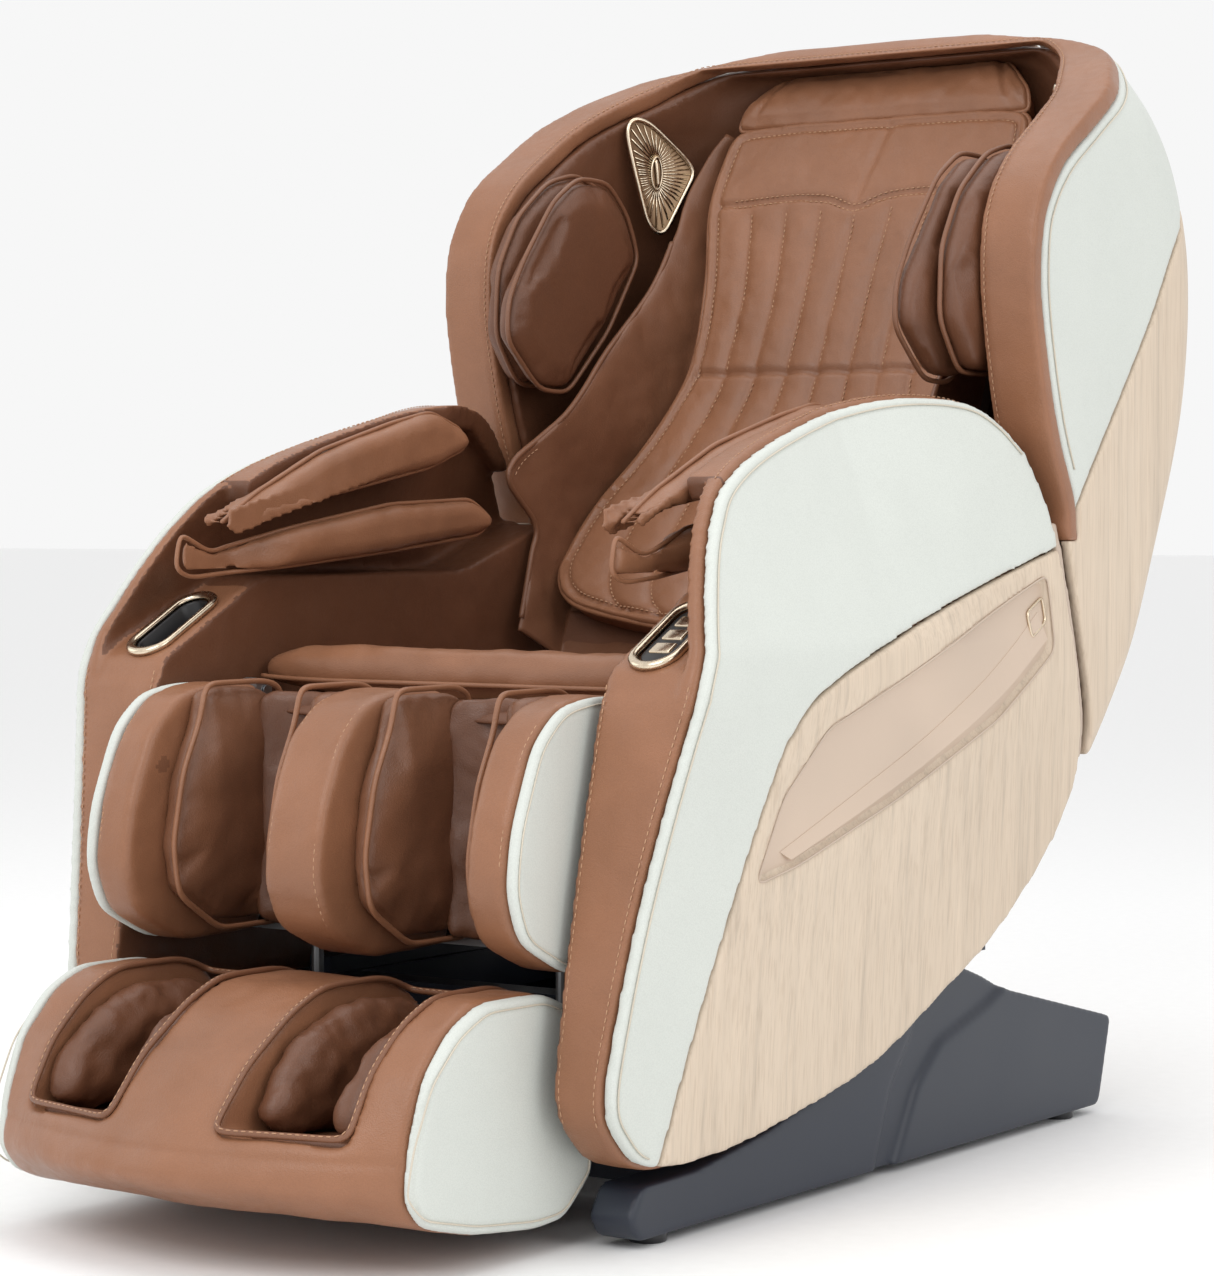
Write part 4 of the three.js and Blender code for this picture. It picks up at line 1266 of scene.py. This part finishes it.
def sew_back_pad(table, loop):
    paths = []
    for line in range(-CHANNELS // 2 + 1, CHANNELS // 2):
        for low, high in ((138, CROSS_SEAM - 6), (CROSS_SEAM + 6, TOP_SEAM - 8)):
            along = np.arange(low, high, 4.0)
            half = np.interp(along, table[:, 0], np.maximum(table[:, 1], 178)) - EDGE_ROLL
            flat = np.column_stack([half * line * 2 / CHANNELS + 2.6, along])
            edge = distance_to(loop, flat)
            keep = (edge > EDGE_ROLL + 4) & inside(loop, flat)
            if keep.sum() > 6:
                paths.append(pad_surface(flat[keep], edge[keep], table, 0.3))
    ring = shrunk(loop, EDGE_ROLL + 3.5)
    paths.append(pad_surface(ring, np.full(len(ring), EDGE_ROLL + 3.5), table, 0.3))
    across = np.arange(-168, 169, 4.0)
    for lift, line in ((4.5, top_seam(across)), (-4.5, top_seam(across))):
        flat = np.column_stack([across, line + lift])
        paths.append(pad_surface(flat, np.full(len(flat), 50.0), table, 0.3))
    thread = stitches("back_pad_stitches", paths, length=4.0, gap=3.0, radius=0.8)
    dress(thread, THREAD, "backrest")
    cord = pad_surface(loop, np.zeros(len(loop)), table, 1.5)
    dress(tube("back_pad_piping", cord, 3.0, closed=True), "leather", "backrest")


# along the back, half-width, depth of the wing's edge, depth behind the pad, where the sweep starts
WING_LEVELS = [
    (100, 246, -140, -76, 0.93), (190, 257, -148, -60, 0.972), (226, 258, -158, -56, 0.974),
    (242, 258, -224, -54, 0.974), (268, 257, -230, -52, 0.972), (310, 252, -208, -48, 0.955),
    (350, 240, -192, -46, 0.93), (390, 234, -182, -44, 0.90), (451, 233, -166, -44, 0.86),
    (561, 233, -125, -54, 0.84), (640, 235, -112, -61, 0.86), (690, 238, -108, -66, 0.88),
    (760, 230, -106, -68, 0.9), (798, 214, -104, -70, 0.9),
]


LINING_COLUMNS = 171


def lining_row(half, edge, middle, start):
    """One level line of the lining, as (x, depth): flat behind the pad, then forward to the wing's edge."""
    t = np.linspace(0, 1, 40)
    sweep = (edge - middle) * t * t * (3 - 2 * t)
    side = np.column_stack([half * (start + (1 - start) * t), middle + sweep])
    right = np.vstack([[(0, middle)], side])
    return spread(np.vstack([(right * (-1, 1))[::-1][:-1], right]), LINING_COLUMNS)


def build_back_lining():
    """The leather behind the pad, swept forward into soft wings at both sides."""
    levels = np.asarray(curve(WING_LEVELS, 5))
    points = []
    for along, half, edge, middle, start in levels:
        row = lining_row(half, edge, middle, start)
        out = np.clip((np.abs(row[:, 0]) - 200) / 40, 0, 1)
        fold = 1.6 * np.sin(along / 17 + row[:, 1] / 19) * out
        x = row[:, 0] - np.sign(row[:, 0]) * (fold + 1.6)
        points.extend(np.column_stack([x, row[:, 1], np.full(len(row), along)]))
    lining = lean_back(grid_mesh("back_lining_look", points, LINING_COLUMNS))
    ripple(lining, 80, 3.0, seed=11, where=wing_weight)
    thicken(lining, 4.0, offset=0)
    dress(lining, "wing_leather", "backrest", replaces=["back_lining"])
    for side, word in ((1, "left"), (-1, "right")):
        path = [(side * (half - 2), edge, along) for along, half, edge in levels[:, :3] if 110 < along < 640]
        cord = tube(f"wing_piping_{word}", back_to_world(even(path, 5)), 3.4)
        dress(cord, "wing_leather", "backrest")
        sewn = levels[(levels[:, 0] > 250) & (levels[:, 0] < 630), :3]
        path = [(side * (half - 5.5), edge + 9, along) for along, half, edge in sewn]
        thread = stitches(f"wing_stitches_{word}", [back_to_world(even(path, 5))])
        dress(thread, THREAD, "backrest")


def wing_weight(points):
    return np.clip((np.abs(points[:, 0]) - 150) / 60, 0.15, 0.7)


def build_head_pillow():
    """A draped trapezoid pillow with a tuck at each upper corner."""
    right = [(196, 800), (190, 826), (168, 852), (150, 872)]
    outline = [(-196, 800), *right, *[(-x, along) for x, along in right[:0:-1]]]
    loop = closed_loop(outline, 4.5, rounds=4)

    def surface(flat, edge):
        x, along = flat[:, 0], flat[:, 1]
        up = (along - 800) / 72
        front = -112 - 7 * np.sin(np.clip(up, 0, 1) * math.pi)
        height = rounded(edge, 16, 9)
        tuck = np.abs(np.abs(x) - (176 - 34 * up))
        height -= 4.5 * np.exp(-((tuck / 5) ** 2)) * np.clip(up * 3, 0, 1)
        height -= 2.0 * np.exp(-((edge - 9) / 2.5) ** 2)
        return back_to_world(np.column_stack([x, front + 9 - height, along]))

    depth = back_to_world([(0, 18, 0)])[0] - back_to_world([(0, 0, 0)])[0]
    pillow = patch("head_pillow_look", loop, surface, depth)
    ripple(pillow, 60, 3.0, seed=4)
    dress(pillow, "leather", "backrest", replaces=["head_pillow"])
    cord = surface(loop, np.zeros(len(loop)))
    dress(tube("head_pillow_piping", cord, 2.6, closed=True), "leather", "backrest")


SHOULDER_INNER = [
    (199, 862), (202, 908), (231, 955), (289, 1026), (338, 1056), (399, 1055), (440, 1020), (464, 969),
    (400, 880), (318, 806), (262, 808),
]
SHOULDER_OUTER = [
    (228, 870), (232, 946), (270, 1008), (329, 1052), (385, 1066), (440, 1050), (468, 1000), (440, 900),
    (350, 815), (270, 815),
]


def airbag(name, outline, x0, x1, edge, cap, voxel=5.0, drawn=4):
    loop = closed_loop(outline, 6, rounds=8)
    body = slab(name, shrunk(loop, drawn), x0, x1, edge, steps=4)
    inflate(body, voxel=voxel, pressure=4.0, cap=cap)
    return body, loop


def build_shoulder_pads():
    inner, loop = airbag("shoulder_inner", SHOULDER_INNER, 245, 268, 9, 6)
    outer, second = airbag("shoulder_outer", SHOULDER_OUTER, 278, 308, 10, 6)
    rib = prism("rib", np.array([(330, 900), (420, 940), (420, 1010), (330, 1000)], float), 262, 292)
    pads = join("shoulder_pad", [inner, outer, rib])
    pads.data.shade_smooth()
    # The shoulder pads take the darker brown as painted shade of the hood's recess.
    both_sides(pads, "shoulder_pad", "dark_leather", "backrest", replaces=["shoulder_pad"])
    for name, line, x in (("inner", loop, 249), ("outer", second, 286)):
        path = np.column_stack([np.full(len(line), float(x)), shrunk(line, 1.5)])
        edging(f"shoulder_{name}_piping", path, 2.8, "wing_leather", "backrest")


SPEAKER = [
    (-51, 5), (-31, 26), (10, 60), (32, 68), (43, 62), (46, 48), (34, -1), (18, -59), (6, -75), (-8, -75),
    (-17, -57),
]
SPEAKER_PLACE = (268, 531, 1076)
SPEAKER_TURN = math.radians(120)


def on_speaker(points):
    points = np.asarray(points, float)
    cos, sin = math.cos(SPEAKER_TURN), math.sin(SPEAKER_TURN)
    return np.column_stack([
        SPEAKER_PLACE[0] - points[:, 0] * cos - points[:, 1] * sin,
        SPEAKER_PLACE[1] - points[:, 0] * sin + points[:, 1] * cos,
        SPEAKER_PLACE[2] + points[:, 2],
    ])


def build_speakers():
    """Bronze grilles with spokes round a raised bar, and a bright rim."""
    loop = closed_loop(SPEAKER, 3, rounds=22)
    inner = shrunk(loop, 5)
    rings = [np.column_stack([line[:, 0], np.full(len(line), d), line[:, 1]])
             for line, d in ((shrunk(loop, 1), 0.0), (shrunk(loop, 1), 5.0), (inner, 4.0))]
    dish = loft("speaker_grille", [on_speaker(ring) for ring in rings])
    both_sides(dish, "speaker_grille", "bronze", "backrest", replaces=["speaker_grille"])
    line = np.column_stack([shrunk(loop, 2)[:, 0], np.full(len(loop), 5.2), shrunk(loop, 2)[:, 1]])
    edging("speaker_rim", on_speaker(line), 3.0, "gold", "backrest")
    spokes = []
    centre = np.array([4.0, 0.0])
    count = 44
    for k in range(count):
        turn = 2 * math.pi * k / count
        ahead = np.array([math.cos(turn), math.sin(turn)])
        start = centre + ahead * (7, 19)
        gaps = inner - centre
        off = np.abs(np.arctan2(gaps[:, 1], gaps[:, 0]) - math.atan2(ahead[1], ahead[0]))
        end = centre + (inner[np.argmin(np.minimum(off, 2 * math.pi - off))] - centre) * 0.97
        path = [(p[0], 5.4, p[1]) for p in (start, (start + end) / 2, end)]
        spokes.append(tube(f"spoke_{k}", on_speaker(path), 0.85, sides=6))
    bar = [(4 - 1.5, 7.0, -15), (4, 7.8, 0), (4 + 1.5, 7.0, 15)]
    spokes.append(tube("speaker_bar", on_speaker(curve(bar, 3)), 2.2))
    turns = np.linspace(0, 2 * math.pi, 40, endpoint=False)
    ring = [(4 + 7 * math.cos(turn), 6.0, 19 * math.sin(turn)) for turn in turns]
    spokes.append(tube("speaker_ring", on_speaker(ring), 1.2, closed=True))
    both_sides(join("speaker_spokes", spokes), "speaker_spokes", "gold", "backrest")


# Seat


def build_seat():
    rings = []
    profile = curve([(-142, 468), (-120, 475), (-20, 470), (60, 467), (180, 474), (236, 490)], 8)
    for y, top in profile:
        right = [(256, 405), (257, top - 6), (250, top - 1)]
        ring = closed_loop([(-256, 405), *right, *[(-x, z) for x, z in right[:0:-1]]], 8, 3)
        rings.append(np.column_stack([ring[:, 0], np.full(len(ring), y), ring[:, 1]]))
    pad = loft("seat_pad_look", rings)
    inflate(pad, voxel=7.0, pressure=3.0, cap=6)
    ripple(pad, 80, 2.5, seed=6)
    dress(pad, "dark_leather", "seat", replaces=["seat_pad"])
    build_seat_roll()


def build_seat_roll():
    rings = []
    for x in np.linspace(-259, 259, 105):
        edge = 1 - (abs(x) / 259) ** 10 * 0.42
        sag = 4.0 * math.exp(-((x / 150) ** 2)) - 2.5 * math.exp(-(((abs(x) - 215) / 30) ** 2))
        turns = np.linspace(0, 2 * math.pi, 48, endpoint=False)
        y = -186 + 34 * edge * np.cos(turns)
        z = 510 - sag * 0.6 + 22 * edge * np.sign(np.sin(turns)) * np.abs(np.sin(turns)) ** 0.72
        rings.append(np.column_stack([np.full(len(turns), x), y, z]))
    roll = loft("seat_roll_look", rings)
    inflate(roll, voxel=5.0, pressure=3.0, cap=4)
    ripple(roll, 90, 3.0, seed=13)
    dress(roll, "leather", "seat", replaces=["seat_roll"])
    x = np.linspace(-255, 255, 90)
    end = np.abs(x) / 259
    path = np.column_stack([x, -219 + 5 * end ** 8, 500 + 3 * end ** 6])
    dress(tube("seat_roll_piping", path, 2.6), "leather", "seat")


def sheet_between(name, stations, half, thickness=3.0):
    """A draped strip of leather across the seat, through (y, z) stations."""
    line = curve(stations, 5)
    across = np.linspace(-half, half, 90)
    points = [(x, y, z + 2.0 * math.sin(x / 31 + y / 17)) for y, z in line for x in across]
    sheet = thicken(grid_mesh(name, points, len(across)), thickness)
    return sheet


def build_drapes():
    stations = [(190, 470), (232, 472), (262, 486), (282, 520), (300, 560)]
    lumbar = sheet_between("lumbar_drape", stations, 236)
    dress(lumbar, "dark_leather", None)
    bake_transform(lumbar)
    stations = [(-170, 482), (-215, 482), (-250, 484), (-285, 482), (-300, 470)]
    knee = sheet_between("knee_drape", stations, 225)
    dress(knee, "dark_leather", None)
    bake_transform(knee)


# Calf rest and footrest

CALF = [
    (-276, 252), (-392, 250), (-462, 284), (-480, 332), (-472, 387), (-440, 462), (-402, 494), (-350, 502),
    (-276, 500),
]
CALF_BAG = [
    (-276, 262), (-372, 262), (-432, 300), (-440, 350), (-425, 420), (-400, 470), (-392, 504), (-300, 504),
    (-276, 496),
]


def calf_loop(drawn=0):
    return shrunk(closed_loop(CALF, 5, rounds=14), drawn)


def bag_loop(drawn=0):
    return shrunk(closed_loop(CALF_BAG, 5, rounds=8), drawn)


def calf_seams(*places):
    """Lines over the front of a calf block, from its foot to its top, one at each x."""
    seam = calf_loop(2.0)
    seam = seam[seam[:, 0] < -285]
    seam = seam[np.argsort(np.arctan2(seam[:, 1] - 380, -(seam[:, 0] + 300)))]
    return [np.column_stack([np.full(len(seam), x), seam]) for x in places]


def build_calf_pads():
    block_pad = remesh(slab("calf_block", calf_loop(0.5), 201, 245, 7, steps=4), 4.0, 5)
    bag = slab("calf_bag", bag_loop(7), 178, 203, 9, steps=4)
    inflate(bag, voxel=5.0, pressure=5.0, cap=9, pinned=lambda p: p[:, 0] > 199)
    ripple(bag, 95, 3.0, seed=21)
    ripple(block_pad, 80, 1.5, seed=22)
    pads = join("calf_pad", [block_pad, bag])
    for piece in both_sides(pads, "calf_pad", "leather", "legrest", replaces=["calf_pad"]):
        reline(piece, "wing_leather", lambda p, n: np.abs(p[:, 0]) < 200)
    edge = np.column_stack([np.full(len(bag_loop()), 177.0), bag_loop(1)])
    edging("calf_bag_piping", edge, 3.0, "leather", "legrest")
    rows = calf_seams(208.5, 238.5)
    both_sides(stitches("calf_stitches", rows), "calf_stitches", THREAD, "legrest")
    side = remesh(slab("calf_side", calf_loop(0.5), 245.5, 257.5, 5, steps=4), 3.0, 4)
    line = calf_loop(7)
    path = np.column_stack([np.full(len(line), 257.6), line])
    press(side, [path], 1.0, 2.4)
    both_sides(side, "calf_side", "white", "legrest", replaces=["calf_side"])
    edging("calf_side_seam", path, 0.8, CREAM_CORD, "legrest")
    build_calf_divider()


def build_calf_divider():
    middle = remesh(slab("divider_block", calf_loop(0.5), -34, 34, 8, steps=4), 4.0, 5)
    ripple(middle, 80, 1.5, seed=25)
    bag = slab("divider_bag", bag_loop(7), 33, 57, 9, steps=4)
    inflate(bag, voxel=5.0, pressure=5.0, cap=9, pinned=lambda p: p[:, 0] < 37)
    ripple(bag, 95, 3.0, seed=26)
    twin = mirror_of(bag, "divider_bag_right")
    divider = join("calf_divider_look", [middle, bag, twin])
    dress(divider, "leather", "legrest", replaces=["calf_divider"])
    reline(divider, "wing_leather", lambda p, n: np.abs(p[:, 0]) > 35)
    for side, word in ((1, "left"), (-1, "right")):
        edge = np.column_stack([np.full(len(bag_loop()), side * 58.0), bag_loop(1)])
        dress(tube(f"divider_piping_{word}", edge, 3.0, closed=True), "leather", "legrest")
    dress(stitches("divider_stitches", calf_seams(-27, 27)), THREAD, "legrest")
    build_calf_wells()


def build_calf_wells():
    """The quilted leather at the back of each calf channel."""
    loop = closed_loop([(58, 262), (178, 262), (178, 492), (58, 492)], 5, rounds=10)

    def surface(flat, edge):
        x, z = flat[:, 0], flat[:, 1]
        dip = 26 * ((x - 118) / 60) ** 2
        height = rounded(edge, 14, 8)
        fold = 2.0 * np.sin(z / 15 + x / 22)
        return np.column_stack([x, -284 - height - dip - fold, z])

    well = patch("calf_well", loop, surface, np.array([0.0, 10, 0]), spacing=5)
    ripple(well, 40, 3.0, seed=31)
    both_sides(well, "calf_well", "dark_leather", "legrest")


FOOT = [
    (-337, 64), (-352, 150), (-372, 221), (-415, 237), (-505, 238), (-549, 219), (-591, 181), (-619, 125),
    (-630, 80), (-600, 52), (-520, 34), (-430, 24), (-384, 26),
]
WELL = [
    (-395, 300), (-352, 160), (-372, 108), (-470, 98), (-575, 104), (-625, 120), (-720, 136), (-720, 300),
]
WELL_SIDES = (62, 188)
NOSE_OUT = 59.5
CORNER_BACK = 20
FOOT_HALF = 234


def foot_loop(drawn=0, rounds=8):
    return shrunk(closed_loop(FOOT, 5, rounds=rounds), drawn)


def foot_ring(loop, x):
    nose = NOSE_OUT - (NOSE_OUT + CORNER_BACK) * min(1, abs(x) / 240) ** 2
    reach = np.maximum(0, (-500 - loop[:, 0]) / 130) ** 3
    return np.column_stack([np.full(len(loop), x), loop[:, 0] - nose * reach, loop[:, 1]])


def build_footrest():
    loop = foot_loop()
    body = loft("footrest_shell_look", [foot_ring(loop, x) for x in np.linspace(-FOOT_HALF, FOOT_HALF, 79)])
    well = closed_loop(WELL, 6, rounds=4)
    near, far = WELL_SIDES
    for x0, x1 in ((near, far), (-far, -near)):
        combine(body, slab("well", well, x0, x1, 12, steps=4), "DIFFERENCE")
    remesh(body, 4.2, 7)
    seam = [foot_point(x, 110) for x in np.linspace(-232, 232, 95)]
    press(body, [np.array(seam)], 1.6, 3.4)
    ripple(body, 110, 2.2, seed=41)
    dress(body, "leather", "footrest", replaces=["footrest_shell"])
    build_foot_wells()
    side = loft("foot_side", [
        foot_ring(foot_loop(inset), x)
        for x, inset in ((234.5, 0.5), (240, 0.5), (243.5, 1.4), (246, 3.2), (247.4, 6.0), (247.8, 9.0))
    ])
    remesh(side, 3.2, 4)
    line = foot_loop(9)
    path = np.column_stack([np.full(len(line), 247.6), line])
    press(side, [path], 1.2, 2.6)
    both_sides(side, "foot_side", "white", "footrest", replaces=["foot_side"])
    edging("foot_side_seam", path, 0.9, CREAM_CORD, "footrest")


def foot_point(x, z):
    loop = foot_ring(foot_loop(), x)
    front = loop[loop[:, 1] < -500]
    return front[np.argmin(np.abs(front[:, 2] - z))] - (0, 0.4, 0)


def well_mouth(low=126):
    """The closed edge of a foot well's mouth: down the front of the footrest at both sides and across."""
    sides = []
    for x in WELL_SIDES:
        ring = foot_ring(foot_loop(-0.6), x)
        sides.append(ring[(ring[:, 2] > low) & (ring[:, 1] < -374)])
    return closed_loop(np.vstack([sides[0], sides[1][::-1]]), 4, rounds=10)


def well_floor(y):
    return np.interp(y, [-640, -575, -470, -372], [124, 106, 101, 110])


def build_foot_wells():
    """Soft airbags at both sides of each foot well, a sole pad and a piped, stitched mouth."""
    bag = [
        (-372, 150), (-376, 114), (-470, 104), (-575, 110), (-622, 132),
        (-598, 176), (-556, 208), (-505, 226), (-415, 226), (-380, 205),
    ]
    near, far = WELL_SIDES
    for number, (x0, x1) in enumerate(((near + 2, near + 34), (far - 36, far - 2))):
        body = slab(f"foot_bag_{number}", shrunk(closed_loop(bag, 6, rounds=8), 3), x0, x1, 15, steps=5)
        inflate(body, voxel=5.0, pressure=5.0, cap=7)
        ripple(body, 48, 4.5, seed=50 + number)
        both_sides(body, f"foot_bag_{number}", "dark_leather", "footrest")
    corners = [(near + 3, -618), (far - 3, -618), (far - 3, -378), (near + 3, -378)]

    def surface(flat, edge):
        x, y = flat[:, 0], flat[:, 1]
        height = rounded(edge, 14, 7)
        return np.column_stack([x, y, well_floor(y) + height + 1.5 * np.sin(y / 11)])

    sole = patch("foot_sole", closed_loop(corners, 5, rounds=10), surface, np.array([0.0, 0, -8]), spacing=5)
    both_sides(sole, "foot_sole", "dark_leather", "footrest")
    corners = [(near + 3, 116), (far - 3, 116), (far - 3, 214), (near + 3, 214)]

    def heel_surface(flat, edge):
        x, z = flat[:, 0], flat[:, 1]
        height = rounded(edge, 14, 7)
        return np.column_stack([x, -352 - 0.27 * (z - 150) - height, z])

    loop = closed_loop(corners, 5, rounds=10)
    heel = patch("foot_heel", loop, heel_surface, np.array([0.0, 6, 0]), spacing=5)
    both_sides(heel, "foot_heel", "dark_leather", "footrest")
    mouth = well_mouth()
    edging("well_piping", mouth, 3.2, "wing_leather", "footrest")
    thread = stitches("well_stitches", [spread(np.vstack([mouth, mouth[:1]]), 160) + (0, -2.6, 2.2)])
    both_sides(thread, "well_stitches", THREAD, "footrest")


# Base

BASE = [
    (-357, 8.4), (-372, 30), (-352, 58), (-261, 60), (-139, 78), (-10, 108), (113, 158), (190, 186),
    (250, 196), (300, 180), (346, 161), (589, 105), (560, 8.4),
]
GROOVE = [(60, 0), (100, 0), (150, 84), (198, 122), (300, 150), (420, 200), (180, 260), (140, 140), (96, 90)]


def build_base():
    outline = closed_loop(BASE, 5, rounds=3)
    skirt = prism("base_skirt", outline, 262, 309)
    groove = closed_loop(GROOVE, 6, rounds=4)
    combine(skirt, prism("groove", groove, 303, 400), "DIFFERENCE")
    remesh(skirt, 3.2, 5)
    feet = []
    for y in (-310, 500):
        turns = np.linspace(0, 2 * math.pi, 40, endpoint=False)
        rings = [np.column_stack([286 + r * np.cos(turns), y + r * np.sin(turns), np.full(40, z)])
                 for r, z in ((16.5, 0), (18, 1.5), (18, 12))]
        feet.append(loft("foot", rings))
    foot = join("base_feet", feet)
    both_sides(foot, "base_feet", "black", "base")
    both_sides(skirt, "base_skirt", "navy", "base", replaces=["base_skirt"])
    cover = [(300, 20), (300, 179), (346, 160), (589, 105), (560, 20)]
    hollow = [(280, 26), (280, 169), (345, 153), (580, 99), (554, 26)]
    shell = prism("base_rear_cover_look", closed_loop(cover, 5, rounds=2), -261, 261)
    combine(shell, prism("cover_hollow", np.array(hollow, float), -252, 252), "DIFFERENCE")
    combine(shell, block("cover_window", -52, 52, 500, 700, 38, 78), "DIFFERENCE")
    remesh(shell, 3.4, 3)
    dress(shell, "navy", "base", replaces=["base_rear_cover"])


KEPT_LOOKS = {
    "navy": ["base_frame"],
    "black": ["power_panel", "air_pump", "legrest_actuator", "massage_carriage"],
    "gold": ["power_switch"],
    "taupe": ["roller_left", "roller_right"],
    "steel": [
        "seat_carriage", "seat_frame", "legrest_actuator_rod", "back_frame", "kneading_arm_left",
        "kneading_arm_right", "legrest_frame", "footrest_slider",
    ],
}


def dress_kept_nodes():
    for look, names in KEPT_LOOKS.items():
        for name in names:
            for place in NODES[name].material_slots:
                place.material = LOOKS[look]


build_arm_panels()
build_tray_trim()
build_arm_cores()
build_flaps()
build_shelves()
build_hood()
build_back_pad()
build_back_lining()
build_head_pillow()
build_shoulder_pads()
build_speakers()
build_seat()
build_drapes()
build_calf_pads()
build_footrest()
build_base()
dress_kept_nodes()
